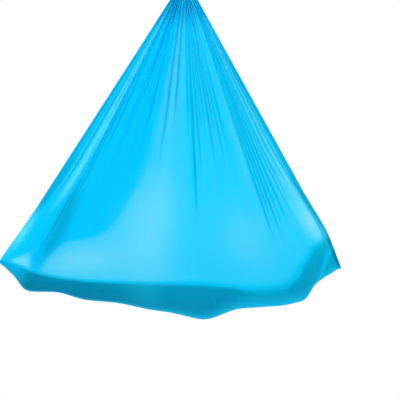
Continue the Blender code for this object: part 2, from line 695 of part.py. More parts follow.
def swivel_housing():
    """Ring and cup in one forging, open below for the bearing."""
    outer = HOUSING_RADIUS
    bore = HOUSING_RADIUS - HOUSING_WALL
    roof = HOUSING_TOP_Z - HOUSING_ROOF
    points = [(0, HOUSING_TOP_Z), (outer - HOUSING_CHAMFER, HOUSING_TOP_Z)]
    points += [(outer, HOUSING_TOP_Z - HOUSING_CHAMFER)]
    points += [(outer, HOUSING_FOOT_Z), (bore, HOUSING_FOOT_Z), (bore, roof), (0, roof)]
    made = lathe(part("swivel_housing", profile("swivel_housing", points), (STEEL, 0.3, 1.0)))
    ring_radius = SWIVEL_RING_HOLE_RADIUS + SWIVEL_RING_BAR_RADIUS
    ring = ring_bar("swivel_ring", ring_radius, SWIVEL_RING_BAR_RADIUS, (0, 0, SWIVEL_RING_Z))
    joined(made, [helper("swivel_ring", ring)], "UNION")


def swivel_bearing():
    """Races, caged balls, nut and the cap that closes the housing."""
    bore = HOUSING_RADIUS - HOUSING_WALL
    stem_hole = STEM_RADIUS + STEM_CLEARANCE
    for label, top in (("upper", UPPER_RACE_TOP_Z), ("lower", LOWER_RACE_TOP_Z)):
        name = f"swivel_{label}_race"
        outline = tube_profile(name, RACE_RADIUS, stem_hole, top, top - RACE_THICKNESS)
        lathe(part(name, outline, (STEEL, 0.2, 1.0)))
    pitch_radius = (RACE_RADIUS + stem_hole) / 2
    half = CAGE_THICKNESS / 2
    cage_outer = RACE_RADIUS - CAGE_INSET
    cage_inner = stem_hole + CAGE_INSET
    outline = tube_profile("swivel_ball_cage", cage_outer, cage_inner, BALL_Z + half, BALL_Z - half)
    cage = lathe(part("swivel_ball_cage", outline, (BRONZE, 0.35, 1.0)))
    balls = []
    for index in range(BALL_COUNT):
        angle = 2 * math.pi * index / BALL_COUNT
        shape = bmesh.new()
        bmesh.ops.create_uvsphere(shape, u_segments=8, v_segments=6, radius=BALL_RADIUS)
        place = (pitch_radius * math.cos(angle), pitch_radius * math.sin(angle), BALL_Z)
        bmesh.ops.translate(shape, vec=place, verts=shape.verts)
        balls.append(helper(f"ball_{index}", from_bmesh(f"ball_{index}", shape)))
    joined(cage, balls, "UNION")
    hexagon = SWIVEL_NUT_FLATS / math.sqrt(3)
    nut_centre = (0, 0, SWIVEL_NUT_TOP_Z - SWIVEL_NUT_HEIGHT / 2)
    nut_mesh = cylinder("swivel_nut", hexagon, SWIVEL_NUT_HEIGHT, "Z", nut_centre, 6)
    nut = part("swivel_nut", nut_mesh, (STEEL, 0.3, 1.0))
    bore_length = SWIVEL_NUT_HEIGHT + 2 * OVERRUN
    nut_bore = cylinder("swivel_nut_bore", STEM_RADIUS + GAP, bore_length, "Z", nut_centre)
    joined(nut, [helper("swivel_nut_bore", nut_bore)], "DIFFERENCE")
    flange_top = CAP_FOOT_Z + CAP_FLANGE_THICKNESS
    thread = bore - GAP
    points = [(stem_hole, CAP_TOP_Z), (thread, CAP_TOP_Z), (thread, flange_top), (HOUSING_RADIUS, flange_top)]
    points += [(HOUSING_RADIUS, CAP_FOOT_Z + HOUSING_CHAMFER), (HOUSING_RADIUS - HOUSING_CHAMFER, CAP_FOOT_Z)]
    points += [(stem_hole, CAP_FOOT_Z)]
    lathe(part("swivel_cap", profile("swivel_cap", points, closed=True), (DARK_STEEL, 0.35, 1.0)))


def swivel_eye():
    """The turning stem with its collar and the wide loop for two carabiners."""
    stem_top = SWIVEL_NUT_TOP_Z + GAP
    collar_foot = COLLAR_TOP_Z - COLLAR_HEIGHT
    foot = LOOP_TOP_Z
    points = [(0, stem_top), (STEM_RADIUS, stem_top), (STEM_RADIUS, COLLAR_TOP_Z)]
    points += [(COLLAR_RADIUS, COLLAR_TOP_Z), (COLLAR_RADIUS, collar_foot), (STEM_RADIUS, foot), (0, foot)]
    made = lathe(part("swivel_eye", profile("swivel_eye", points), (STEEL, 0.3, 1.0)))
    half = LOOP_HALF_WIDTH - LOOP_CORNER
    top = LOOP_TOP_Z - LOOP_CORNER
    foot_centre = LOOP_BAR_Z + LOOP_CORNER
    corners = [((half, top), 0), ((-half, top), 1), ((-half, foot_centre), 2), ((half, foot_centre), 3)]
    flat = []
    for centre, quarter in corners:
        start = quarter * math.pi / 2
        flat += arc(centre, LOOP_CORNER, start, start + math.pi / 2, 4)
    points = [(0, x, z) for x, _, z in flat]
    loop = bent_bar("swivel_loop", points, LOOP_BAR_RADIUS, closed=True)
    joined(made, [helper("swivel_loop", loop)], "UNION")


def ellipse(half_x, half_y, centre, count=16):
    """A level ring of points, starting at one end of its long axis."""
    turns = [2 * math.pi * (index + 0.5) / count for index in range(count)]
    return [(centre[0] + half_x * math.cos(t), centre[1] + half_y * math.sin(t), centre[2]) for t in turns]


def hitch(label, side, place):
    """One gathered end of the cloth: saddle, two wraps, neck and tail in one solid."""
    name = f"{label}_hitch"
    middle_y = side * LOWER_FOOT_OFFSET
    seat_radius = BAR_RADIUS + GAP + SADDLE_THICKNESS / 2
    saddle_points = [(0, -seat_radius, -SADDLE_LEG)]
    saddle_points += [(0, x, z) for x, _, z in arc((0, 0), seat_radius, math.pi, 0, 8)]
    saddle_points += [(0, seat_radius, -SADDLE_LEG)]
    stretch = (SADDLE_WIDTH / SADDLE_THICKNESS, 1, 1)
    saddle_mesh = bent_bar(name, saddle_points, SADDLE_THICKNESS / 2, stretch=stretch)
    to_bar = Matrix.Translation((0, middle_y, LOWER_FOOT_Z))
    made = part(name, saddle_mesh, (CYAN, 0.8, 0.0), to_bar)
    leg_half_y = seat_radius + SADDLE_THICKNESS / 2
    wrap_half_x = SADDLE_WIDTH / 2 + WRAP_RADIUS - WRAP_BITE
    wrap_half_y = leg_half_y + WRAP_RADIUS - WRAP_BITE
    wrap_points = []
    for step in range(WRAP_TURNS * WRAP_STEPS + 1):
        angle = 2 * math.pi * step / WRAP_STEPS
        height = -WRAP_DROP - WRAP_PITCH * step / WRAP_STEPS
        wrap_points.append((wrap_half_x * math.cos(angle), wrap_half_y * math.sin(angle), height))
    wrap = helper(f"{name}_wrap", bent_bar(f"{name}_wrap", wrap_points, WRAP_RADIUS, 2), to_bar)
    neck_top = -BAR_RADIUS - GAP - NECK_BELOW_BAR
    neck_foot = -HITCH_LENGTH
    foot_half_x = NECK_DROP * (LEFT_EDGE_SHARE + RIGHT_EDGE_SHARE) / 2
    foot_x = NECK_DROP * (RIGHT_EDGE_SHARE - LEFT_EDGE_SHARE) / 2
    waist = (neck_foot - WRAP_DROP) / 2
    sections = [
        ellipse(NECK_TOP_WIDTH / 2, NECK_TOP_THICKNESS / 2, (0, 0, neck_top)),
        ellipse(NECK_TOP_WIDTH / 2, NECK_TOP_THICKNESS / 2, (0, 0, waist)),
        ellipse(foot_half_x, NECK_THICKNESS / 2, (foot_x, 0, neck_foot)),
    ]
    neck = helper(f"{name}_neck", loft(f"{name}_neck", sections), to_bar)
    tail_top = -WRAP_DROP - WRAP_RADIUS
    tail_sections = []
    for share, width_share, out_share in TAIL_SHARES:
        height = tail_top - TAIL_LENGTH * share
        out = side * (wrap_half_y + (WRAP_RADIUS + TAIL_THICKNESS) * out_share)
        half_width = TAIL_WIDTH / 2 * width_share
        section = ellipse(half_width, TAIL_THICKNESS / 2, (0, out, height), SMALL_ROUND_STEPS)
        tail_sections.append(section)
    tail = helper(f"{name}_tail", loft(f"{name}_tail", tail_sections), to_bar)
    joined(made, [wrap, neck, tail], "UNION")
    channel = bent_bar(f"{name}_channel", oval_points(), BAR_RADIUS + GAP)
    joined(made, [helper(f"{name}_channel", channel, place)], "DIFFERENCE")


def between(table, at, column):
    """A smooth value from a table whose first column rises."""
    if at <= table[0][0]:
        return table[0][column]
    for before, after in zip(table, table[1:]):
        if at <= after[0]:
            share = (at - before[0]) / (after[0] - before[0])
            eased = share * share * (3 - 2 * share)
            mixed = (share + eased) / 2
            return before[column] + (after[column] - before[column]) * mixed
    return table[-1][column]


def ramp(start, end, at):
    """0 before start and 1 after end, with a smooth step between."""
    share = min(1, max(0, (at - start) / (end - start)))
    return share * share * (3 - 2 * share)


def slope_at(slope_share, drop):
    """How far the cloth leans sideways for each metre down; the right edge turns in near its tip."""
    if slope_share < 0:
        return slope_share * LEFT_EDGE_SHARE
    turn = ramp(EDGE_TURN_SHARE * CLOTH_DROP, between(CLOTH_SHARES, 1, 2) * CLOTH_DROP, drop)
    return slope_share * (RIGHT_EDGE_SHARE + (RIGHT_TIP_SHARE - RIGHT_EDGE_SHARE) * turn)


def ply_thickness(slope_share, drop):
    """The gathered neck is thick, and the flaps folded back inside add a layer."""
    neck = NECK_THICKNESS * NECK_DROP / drop * (1 - ramp(NECK_DROP, NECK_TAPER_SHARE * CLOTH_DROP, drop))
    flap_edge = between(LEFT_FLAP_SHARES, drop / CLOTH_DROP, 1)
    soft = 1 / FOLD_COUNT
    left_flap = 1 - ramp(flap_edge - soft, flap_edge + soft, slope_share)
    right_flap = ramp(RIGHT_FLAP_SHARE - soft, RIGHT_FLAP_SHARE + soft, slope_share)
    return max(neck, PLY_THICKNESS + FLAP_THICKNESS * max(left_flap, right_flap))


def cloth_section(column_shares, row):
    """One closed section of the cloth: its outer line from left to right, then its inner line back."""
    outer = []
    inner = []
    for index, slope_share in enumerate(column_shares):
        rim = between(CLOTH_SHARES, slope_share, 1) * CLOTH_DROP
        lowest = between(CLOTH_SHARES, slope_share, 2) * CLOTH_DROP
        half_depth = between(CLOTH_SHARES, slope_share, 3) * POD_DEPTH
        fold = FOLD_HEIGHT * (1 if index % 2 else -1) / 2
        edge = min(index, len(column_shares) - 1 - index)
        if row < PLY_ROWS or row > PLY_ROWS + SEAT_ROWS:
            side = -1 if row < PLY_ROWS else 1
            step = row if row < PLY_ROWS else 2 * PLY_ROWS + SEAT_ROWS - row
            share = (step / PLY_ROWS) ** ROW_CROWDING_SHARE
            drop = NECK_DROP + (rim - NECK_DROP) * share
            lean = (drop - NECK_DROP) / (rim - NECK_DROP)
            y = LOWER_FOOT_OFFSET + (half_depth - LOWER_FOOT_OFFSET) * lean + NECK_THICKNESS / 2 * (1 - lean)
            full = ramp(0, FOLD_FULL_SHARE, lean) * (1 - ramp(FOLD_FULL_SHARE, FOLD_END_SHARE, lean))
            roll = EDGE_ROLL * lean if edge == 0 else 0
            y += fold * full + roll
            thickness = ply_thickness(slope_share, drop) + roll
            inner_drop = drop
            inner_y = y - thickness
        else:
            side = 1
            angle = math.pi * (row - PLY_ROWS) / SEAT_ROWS
            thickness = ply_thickness(slope_share, rim)
            y = -half_depth * math.cos(angle)
            drop = rim + (lowest - rim) * math.sin(angle)
            inner_y = -(half_depth - thickness) * math.cos(angle)
            inner_drop = rim + (lowest - rim - thickness) * math.sin(angle)
        x = slope_at(slope_share, drop) * drop
        inner_x = slope_at(slope_share, inner_drop) * inner_drop
        outer.append((x, side * y, APEX_Z - drop))
        inner.append((inner_x, side * inner_y, APEX_Z - inner_drop))
    return outer + inner[::-1]


def hammock_cloth():
    """Front ply, seat and rear ply as one shell, with its main folds fanned from the neck."""
    columns = 2 * FOLD_COUNT
    total = LEFT_EDGE_SHARE + RIGHT_EDGE_SHARE
    shares = []
    for index in range(columns + 1):
        slope = -LEFT_EDGE_SHARE + total * index / columns
        shares.append(slope / (LEFT_EDGE_SHARE if slope < 0 else RIGHT_EDGE_SHARE))
    rows = 2 * PLY_ROWS + SEAT_ROWS + 1
    mesh = loft("hammock_cloth", [cloth_section(shares, row) for row in range(rows)], thin=True)
    mesh.shade_smooth()
    part("hammock_cloth", mesh, (CYAN, 0.85, 0.0))


for old in list(bpy.data.objects):
    bpy.data.objects.remove(old)
PARTS = collection("aerial_hammock")
CUTTERS = collection("cutters")

ceiling_plate()
pivot_bolt()
EYE_BORE_RADIUS, EYE_BARREL_HALF = pivot_bushes()
swing_eye(EYE_BORE_RADIUS, EYE_BARREL_HALF)
PLACES = carabiner_places()
carabiners(PLACES)
swivel_housing()
swivel_bearing()
swivel_eye()
hitch("front", -1, PLACES["front"])
hitch("rear", 1, PLACES["rear"])
hammock_cloth()
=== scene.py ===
"""Looks of the aerial hammock: sheer cloth, its gathered hitches, and finer metal over the CAD frame.

Metres, +Z up, in the CAD frame. The origin is the middle of the ceiling plate's top face.
"""

import json
import math

import bmesh
import bpy
import numpy as np
from mathutils import Matrix, Vector


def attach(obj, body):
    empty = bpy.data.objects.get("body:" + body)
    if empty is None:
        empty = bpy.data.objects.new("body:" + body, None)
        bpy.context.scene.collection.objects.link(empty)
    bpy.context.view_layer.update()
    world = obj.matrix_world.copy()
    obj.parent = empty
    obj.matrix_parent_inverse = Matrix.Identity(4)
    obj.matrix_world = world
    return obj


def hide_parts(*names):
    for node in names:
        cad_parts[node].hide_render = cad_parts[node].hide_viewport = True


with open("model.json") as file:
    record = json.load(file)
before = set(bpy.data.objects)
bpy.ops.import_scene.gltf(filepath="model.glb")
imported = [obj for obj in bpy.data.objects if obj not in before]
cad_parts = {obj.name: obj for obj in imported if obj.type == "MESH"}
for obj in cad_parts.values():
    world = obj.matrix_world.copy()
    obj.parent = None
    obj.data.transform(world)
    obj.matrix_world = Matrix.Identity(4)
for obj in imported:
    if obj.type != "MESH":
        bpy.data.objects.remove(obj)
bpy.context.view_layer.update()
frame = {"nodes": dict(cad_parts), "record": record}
BODY = {name: body for body, names in frame["record"]["behaviour"]["bodies"].items() for name in names}

# Picture: 400 pixels square, 195 pixels for a metre at the hammock's middle
IMAGE_PIXELS = 400
PIXELS_PER_METRE = 195
VIEW_CENTRE_X = 0.0769
VIEW_CENTRE_Z = -1.5395
CAMERA_DISTANCE = 10.0
SENSOR = 0.036
MM_PER_METRE = 1000

# Cloth, the same sizes and shares as in the CAD source
APEX_Z = -0.3985
SHEET_TOP_DROP = 0.045
CLOTH_DROP = 1.7564
LEFT_EDGE = 0.6525
RIGHT_EDGE = 0.5555
RIGHT_TIP = 0.5370
EDGE_TURN_SHARE = 0.708
POD_DEPTH = 0.430
LOWER_FOOT_OFFSET = 0.031
# Slope share, then rim and lowest line over the drop, then half depth over the pod's depth
CLOTH_SHARES = np.array(
    (
        (-1.000, 0.822, 0.831, 0.11), (-0.928, 0.831, 0.854, 0.15), (-0.862, 0.842, 0.877, 0.18),
        (-0.791, 0.856, 0.912, 0.21), (-0.754, 0.861, 0.918, 0.23), (-0.629, 0.875, 0.918, 0.26),
        (-0.459, 0.884, 0.943, 0.30), (-0.345, 0.886, 0.948, 0.33), (-0.115, 0.888, 0.974, 0.40),
        (0.104, 0.889, 1.000, 0.47), (0.298, 0.898, 0.966, 0.50), (0.520, 0.886, 0.959, 0.50),
        (0.662, 0.876, 0.945, 0.48), (0.772, 0.825, 0.892, 0.45), (0.862, 0.790, 0.872, 0.41),
        (1.000, 0.758, 0.848, 0.35),
    )
)
# The free edge of the left flap inside each ply: drop share, slope share
LEFT_FLAP_SHARES = np.array(
    (
        (0.000, -0.268), (0.170, -0.268), (0.330, -0.280), (0.520, -0.303), (0.600, -0.334),
        (0.664, -0.391), (0.723, -0.438), (0.755, -0.504), (0.765, -0.556), (0.768, -0.640),
        (0.773, -0.705), (0.793, -0.734), (0.819, -0.749), (0.854, -0.755),
    )
)
RIGHT_HEM = 0.018
RIGHT_HEM_SLOPE = 0.05
# Edge folds: distance of the fold's middle from the edge and overlap, in metres, then that distance's
# greatest slope, and the drop share where the fold opens out
LEFT_EDGE_FOLD = (0.0100, 0.015, 0.022, 0.76)
RIGHT_EDGE_FOLD = (0.0105, 0.013, 0.018, 2)
# Flat pleats of the front ply: slope share, overlap in metres, drop share where it opens out
FRONT_PLEATS = (
    (-0.900, 0.003, 0.72), (-0.836, 0.003, 0.50), (-0.787, 0.006, 0.86), (-0.763, 0.006, 0.74),
    (-0.715, 0.004, 0.56), (-0.540, 0.003, 0.40), (-0.400, 0.003, 0.50), (-0.215, 0.004, 0.58),
    (-0.120, 0.004, 0.48), (0.030, 0.003, 0.50), (0.088, 0.008, 0.74), (0.150, 0.004, 0.62),
    (0.190, 0.003, 0.50), (0.235, 0.004, 0.50), (0.290, 0.005, 0.58), (0.340, 0.003, 0.52),
    (0.385, 0.004, 0.60), (0.440, 0.003, 0.54), (0.610, 0.008, 0.80), (0.640, 0.006, 0.77),
    (0.672, 0.007, 0.82), (0.705, 0.005, 0.80), (0.740, 0.006, 0.81), (0.776, 0.004, 0.80),
    (0.808, 0.004, 0.76), (0.860, 0.004, 0.74), (0.910, 0.004, 0.78),
)
REAR_SHIFT_SHARE = 0.012
REAR_OVERLAP_SHARE = 0.6
REAR_END_SHARE = 0.9
PLEAT_GAP = 0.0008
FLAP_GAP = 0.0040
# A pleat opens out over this drop share, to this much slack cloth
OPENING_SHARE = 0.16
PLEAT_SLACK = 0.0015
# Overlap at the neck, and the drop shares between which it grows to its full width
NECK_OVERLAP_SHARE = 0.4
OVERLAP_DROP_SHARES = (0.05, 0.34)
# The most of the room beside a pleat that its half width takes; then its lip, and its easing into the ply,
# in metres and as the most of that room
HALF_ROOM_SHARE = 0.20
LIP = (0.002, 0.10)
EASING = (0.008, 0.35)
# How far the lines near each edge drift outwards, and the drop shares and slope shares where they do
DRIFTS = ((0.035, (0.50, 0.74), (0.70, 0.80)), (-0.030, (0.56, 0.70), (-0.68, -0.78)))
# Pale rays at both sides and in the middle: slope share, width, drop shares of start and end, strength
RAYS = (
    (-0.915, 0.010, 0.14, 0.70, 0.32),
    (-0.857, 0.030, 0.10, 0.74, 0.46),
    (-0.814, 0.015, 0.10, 0.56, 0.40),
    (0.085, 0.030, 0.02, 0.70, -0.06),
    (0.330, 0.018, 0.08, 0.55, 0.06),
    (0.560, 0.030, 0.10, 0.68, 0.08),
    (0.792, 0.010, 0.14, 0.72, 0.20),
    (0.836, 0.014, 0.14, 0.80, 0.20),
    (0.888, 0.014, 0.14, 0.84, 0.30),
    (0.930, 0.012, 0.14, 0.84, 0.36),
)
# Painted shade: dark lines along both edges, in the same terms
DARK_LINES = (
    (-0.975, 0.020, 0.06, 0.74, 0.22),
    (-0.934, 0.010, 0.36, 0.76, 0.20),
    (-0.952, 0.011, 0.55, 0.77, 0.44),
    (0.988, 0.024, 0.20, 0.78, 0.20),
    (0.958, 0.010, 0.26, 0.76, 0.42),
    (0.946, 0.009, 0.62, 0.89, 0.62),
)
# Pale patches: slope share and drop share of the middle, width, height, strength
PALE_PATCHES = (
    (-0.980, 0.735, 0.020, 0.070, 0.24),
    (-0.966, 0.745, 0.036, 0.060, 0.24),
    (-0.845, 0.792, 0.020, 0.012, 0.10),
    (-0.600, 0.830, 0.240, 0.055, 0.20),
    (-0.300, 0.720, 0.260, 0.150, 0.13),
    (0.420, 0.760, 0.200, 0.100, 0.13),
    (0.760, 0.700, 0.160, 0.090, 0.03),
    (0.905, 0.720, 0.060, 0.045, 0.18),
)
# Long waves across each ply: waves over the spread, height, lean where they have died out, phase
WAVES = (
    (11, 0.0035, 0.92, 0.4),
    (19, 0.0024, 0.80, 1.9),
    (29, 0.0022, 0.55, 3.1),
)
# Deep folds of the gathered top: count, depth at the neck, lean where they have died out
GATHER_FOLDS = 17
GATHER_DEPTH = 0.0095
GATHER_END = 0.50
PLY_ROWS = 74
# Rows lie closer near the neck; the rim's usual drop share gives each row's drop at the pleats
ROW_POWER = 1.05
RIM_SHARE = 0.87
SEAT_ROWS = 42
LEFT_FLAP_COLUMNS = 60
RIGHT_FLAP_COLUMNS = 12
ROLL_COLUMNS = 6
RUN_COLUMNS = 180
SIDE_TRIM_SHARE = 0.015
# Colours of the thread: stretched; painted lighter at the gathered top as painted light; painted shade in the
# seat's band; and paler as painted light where light comes through
THREAD_STRETCHED = (0.0, 0.705, 1.0, 1)
THREAD_TOP_LIGHT = (0.0, 0.755, 1.0, 1)
THREAD_SEAT_SHADE = (0.0, 0.29, 0.46, 1)
THREAD_PALE = (0.03, 0.85, 1.0, 1)
WHITE = (1, 1, 1, 1)

# Metal and hitches, the same sizes as in the CAD source, from the ceiling plate down
GAP = 0.0003
PIVOT_Z = -0.035
PLATE_SIDE = 0.100
PLATE_THICKNESS = 0.006
PLATE_CORNER = 0.012
SCREW_PLACE = 0.035
EAR_PLACE = 0.016
EAR_THICKNESS = 0.008
EAR_RADIUS = 0.018
EAR_FOOT = 0.050
WELD_REACH = 0.0245
WELD_RADIUS = 0.0017
BOLT_SEAT = 0.0226
BOLT_FLATS = 0.019
HEAD_HEIGHT = 0.0075
NUT_HEIGHT = 0.010
THREAD_PITCH = 0.0015
THREAD_DEPTH = 0.0006
EYE_RING_Z = -0.066
UPPER_TOP_Z = -0.0757
SWIVEL_RING_Z = -0.1814
SWIVEL_RADIUS = 0.019
SWIVEL_BORE = 0.015
SWIVEL_EDGE = 0.0015
HOUSING_TOP_Z = -0.2034
HOUSING_FOOT_Z = -0.2434
STEM_TOP_Z = -0.2132
CAP_TOP_Z = -0.2337
CAP_FOOT_Z = -0.2467
COLLAR_TOP_Z = -0.2470
LOOP_TOP_Z = -0.2540
LOOP_BAR_Z = -0.2880
LOOP_BEND = 0.012
LOWER_TOP_Z = -0.2757
LOWER_TOP_OFFSET = 0.009
OVAL_HEIGHT = 0.098
OVAL_HALF_WIDTH = 0.025
SIDE_TOP = 0.024
BAR_RADIUS = 0.006
SPLAY = math.asin((LOWER_FOOT_OFFSET - LOWER_TOP_OFFSET) / OVAL_HEIGHT)
LOWER_FOOT_Z = LOWER_TOP_Z - OVAL_HEIGHT * math.cos(SPLAY)
RIVET_HEIGHT = -0.0170
RIVET_RADIUS = 0.0015
HINGE_END = -0.0233
NOSE_END = 0.0230
SLEEVE_TOP = 0.0148
SLEEVE_FOOT = -0.0052
SLEEVE_RADIUS = 0.0090
SLEEVE_BORE = 0.0063
SLEEVE_EDGE = 0.0015
FLUTES = 24
FLUTE_DEPTH = 0.0006
SADDLE_HALF = (0.017, 0.008)
SADDLE_RADIUS = 0.0143
SADDLE_LEG = 0.034
SADDLE_STEPS = 20
WRAP_DROP = 0.020
WRAP_PITCH = 0.0112
WRAP_HALF = (0.020, 0.0253)
WRAP_SECTION = (0.0052, 0.0048)
WRAP_STEPS = 120
NECK_TOP = 0.0130
NECK_SPREAD = 0.0485
NECK_FOOT = 0.077
NECK_STEPS = 46
TAIL_TOP = 0.025
TAIL_LENGTH = 0.078
# The tail's shares: length, half width in metres, how far it stands out in metres
TAIL_SHARES = np.array(
    ((0.0, 0.0115, 0.0), (0.35, 0.0143, 0.0038), (0.70, 0.0198, 0.0033), (1.0, 0.0230, 0.0050))
)
ACROSS = (1.0, 0.0, 0.0)
DEPTHWAYS = (0.0, 1.0, 0.0)
UP = (0.0, 0.0, 1.0)
# Steps round a turned piece, and round a pin or hole
ROUND = 64
PIN_ROUND = 32


def smoothstep(value):
    value = np.clip(value, 0, 1)
    return value * value * (3 - 2 * value)


def ramp(start, end, at):
    """From 0 at the start to 1 at the end, eased at both."""
    return smoothstep((at - start) / (end - start))


def bell(at, middle, width):
    """A soft bump of height 1."""
    return np.exp(-(((at - middle) / width) ** 2))


def between(table, at, column):
    """The CAD source's smooth table lookup, for arrays."""
    keys = table[:, 0]
    place = np.clip(np.searchsorted(keys, at, side="right") - 1, 0, len(keys) - 2)
    share = np.clip((at - keys[place]) / (keys[place + 1] - keys[place]), 0, 1)
    mixed = (share + smoothstep(share)) / 2
    values = table[:, column]
    return values[place] + (values[place + 1] - values[place]) * mixed


def put(name, data):
    """A new object in the scene."""
    made = bpy.data.objects.new(name, data)
    bpy.context.scene.collection.objects.link(made)
    return made


def as_mesh(shape, name):
    """The mesh of a bmesh, which is freed."""
    mesh = bpy.data.meshes.new(name)
    shape.to_mesh(mesh)
    shape.free()
    return mesh


def material(name):
    """A new material, its node tree and its Principled shader."""
    made = bpy.data.materials.new(name)
    made.use_nodes = True
    return made, made.node_tree, made.node_tree.nodes["Principled BSDF"]


def fill(tree, node, inputs):
    """Sets a node's inputs, or links them where a value is another node's output."""
    for key, value in inputs.items():
        if isinstance(value, bpy.types.NodeSocket):
            tree.links.new(value, node.inputs[key])
        else:
            node.inputs[key].default_value = value


def added(tree, kind, inputs, output=0):
    """An output of a new shader node."""
    node = tree.nodes.new("ShaderNode" + kind)
    fill(tree, node, inputs)
    return node.outputs[output]


def attribute(tree, name):
    node = tree.nodes.new("ShaderNodeAttribute")
    node.attribute_name = name
    return node.outputs["Fac"]


def maths(tree, operation, *values):
    node = tree.nodes.new("ShaderNodeMath")
    node.operation = operation
    fill(tree, node, dict(enumerate(values)))
    return node.outputs[0]


def mix(tree, factor, first, second):
    """A colour between two colours."""
    node = tree.nodes.new("ShaderNodeMix")
    node.data_type = "RGBA"
    fill(tree, node, {"Factor": factor, "A": first, "B": second})
    return node.outputs["Result"]


def tones(tree, value, *stops):
    """A colour from a ramp between two stops, each a position and a colour."""
    node = tree.nodes.new("ShaderNodeValToRGB")
    for element, (position, colour) in zip(node.color_ramp.elements, stops):
        element.position = position
        element.color = (*colour, 1)
    fill(tree, node, {"Fac": value})
    return node.outputs["Color"]


def noise(tree, vector, scale, detail=2.0, roughness=0.5):
    grain = {"Scale": scale, "Detail": detail, "Roughness": roughness}
    return added(tree, "TexNoise", {"Vector": vector, **grain})


def remap(tree, value, start, end, low=0.0, high=1.0):
    limits = {"From Min": start, "From Max": end, "To Min": low, "To Max": high}
    return added(tree, "MapRange", {"Value": value, **limits})


def bump(tree, height, strength, distance):
    return added(tree, "Bump", {"Height": height, "Strength": strength, "Distance": distance})


def camera():
    data = bpy.data.cameras.new("camera")
    data.sensor_width = MM_PER_METRE * SENSOR
    data.lens = MM_PER_METRE * SENSOR * CAMERA_DISTANCE * PIXELS_PER_METRE / IMAGE_PIXELS
    data.clip_end = 100
    made = put("camera", data)
    made.location = (VIEW_CENTRE_X, -CAMERA_DISTANCE, VIEW_CENTRE_Z)
    made.rotation_euler = (math.pi / 2, 0, 0)
    bpy.context.scene.camera = made


def drift(share, drop):
    """How far the lines near both edges have moved outwards, as a slope share, at a drop share."""
    return sum(far * ramp(*drops, drop) * ramp(*shares, share) for far, drops, shares in DRIFTS)


def edge_knot(edge, fold, row_drop):
    """Slope, overlap and opening share of the fold along an edge."""
    distance, overlap, greatest, end = fold
    return edge - math.copysign(min(distance / row_drop, greatest), edge), overlap, end


def pleat_knots(rear, row_drop):
    """Slope, overlap and opening share of each pleat on one ply."""
    knots = [edge_knot(-LEFT_EDGE, LEFT_EDGE_FOLD, row_drop)]
    for share, overlap, end in FRONT_PLEATS:
        if rear:
            share += REAR_SHIFT_SHARE
            overlap *= REAR_OVERLAP_SHARE
            end *= REAR_END_SHARE
        share += float(drift(share, row_drop / CLOTH_DROP))
        knots.append((share * (LEFT_EDGE if share < 0 else RIGHT_EDGE), overlap, end))
    return np.array(knots + [edge_knot(RIGHT_EDGE, RIGHT_EDGE_FOLD, row_drop)])


def eased_share(share, column, step=0.016):
    """A value of the shares table, with the kinks at its rows rounded off."""
    near = [between(CLOTH_SHARES, share + count * step, column) for count in (-2, -1, 0, 1, 2)]
    return sum(near) / len(near)


def flap_edge(lean):
    """Slope of the left flap's free edge on a row, where the edge's own curve crosses it."""
    shares = np.linspace(-0.99, -0.2, 400)
    drops = SHEET_TOP_DROP + (between(CLOTH_SHARES, shares, 1) * CLOTH_DROP - SHEET_TOP_DROP) * lean
    miss = np.abs(between(LEFT_FLAP_SHARES, drops / CLOTH_DROP, 1) - shares)
    return float(shares[np.argmin(miss)]) * LEFT_EDGE


def roll(edge, row_drop):
    """Slopes and levels of the half round where a flap turns back at an edge."""
    way = math.copysign(1, edge)
    radius = FLAP_GAP / 2
    for step in range(ROLL_COLUMNS + 1):
        angle = way * (math.pi * step / ROLL_COLUMNS - math.pi / 2)
        yield edge - way * radius * (1 - math.cos(angle)) / row_drop, radius * (1 + math.sin(angle))


def section_knots(row_drop, lean, rear_share):
    """Slopes and levels of the section's knots at one row, and the columns between them."""
    pleats = pleat_knots(False, row_drop) * (1 - rear_share) + pleat_knots(True, row_drop) * rear_share
    slopes, levels, columns = [], [], []

    def knot(slope, level, count=0):
        slopes.append(slope)
        levels.append(level)
        if count:
            columns.append(count)

    knot(flap_edge(lean), FLAP_GAP, LEFT_FLAP_COLUMNS)
    for step, (slope, level) in enumerate(roll(-LEFT_EDGE, row_drop)):
        knot(slope, level, 1 if step < ROLL_COLUMNS else 0)
    spread = LEFT_EDGE + RIGHT_EDGE
    at = -LEFT_EDGE
    drop_share = row_drop / CLOTH_DROP
    stops = np.concatenate(([-LEFT_EDGE], pleats[:, 0], [RIGHT_EDGE]))
    rooms = np.minimum(np.diff(stops)[:-1], np.diff(stops)[1:])
    grown = NECK_OVERLAP_SHARE + (1 - NECK_OVERLAP_SHARE) * float(ramp(*OVERLAP_DROP_SHARES, drop_share))
    for (slope, overlap, end), room, (nominal, _, _) in zip(pleats, rooms, pleat_knots(False, CLOTH_DROP)):
        folded = 1 - float(ramp(end - OPENING_SHARE, end, drop_share))
        half = (overlap * grown * folded - PLEAT_SLACK * (1 - folded)) / 2 / row_drop
        half = min(half, HALF_ROOM_SHARE * room)
        gap = PLEAT_GAP * folded
        columns.append(max(2, round(RUN_COLUMNS * (nominal - at) / spread)))
        knot(slope + half, 0, 1)
        knot(slope + half, gap, 2)
        knot(slope - half, gap, 1)
        knot(slope - half, 2 * gap, 2)
        knot(slope + half + min(LIP[0] / row_drop, LIP[1] * room), 2 * gap, 2)
        knot(slope + half + min(EASING[0] / row_drop, EASING[1] * room), 0)
        at = nominal
    columns.append(max(2, round(RUN_COLUMNS * (RIGHT_EDGE - at) / spread)))
    for step, (slope, level) in enumerate(roll(RIGHT_EDGE, row_drop)):
        knot(slope, level, 1 if step < ROLL_COLUMNS else RIGHT_FLAP_COLUMNS)
    knot(RIGHT_EDGE - min(RIGHT_HEM / row_drop, RIGHT_HEM_SLOPE), FLAP_GAP)
    return np.array(slopes), np.array(levels), np.array(columns)


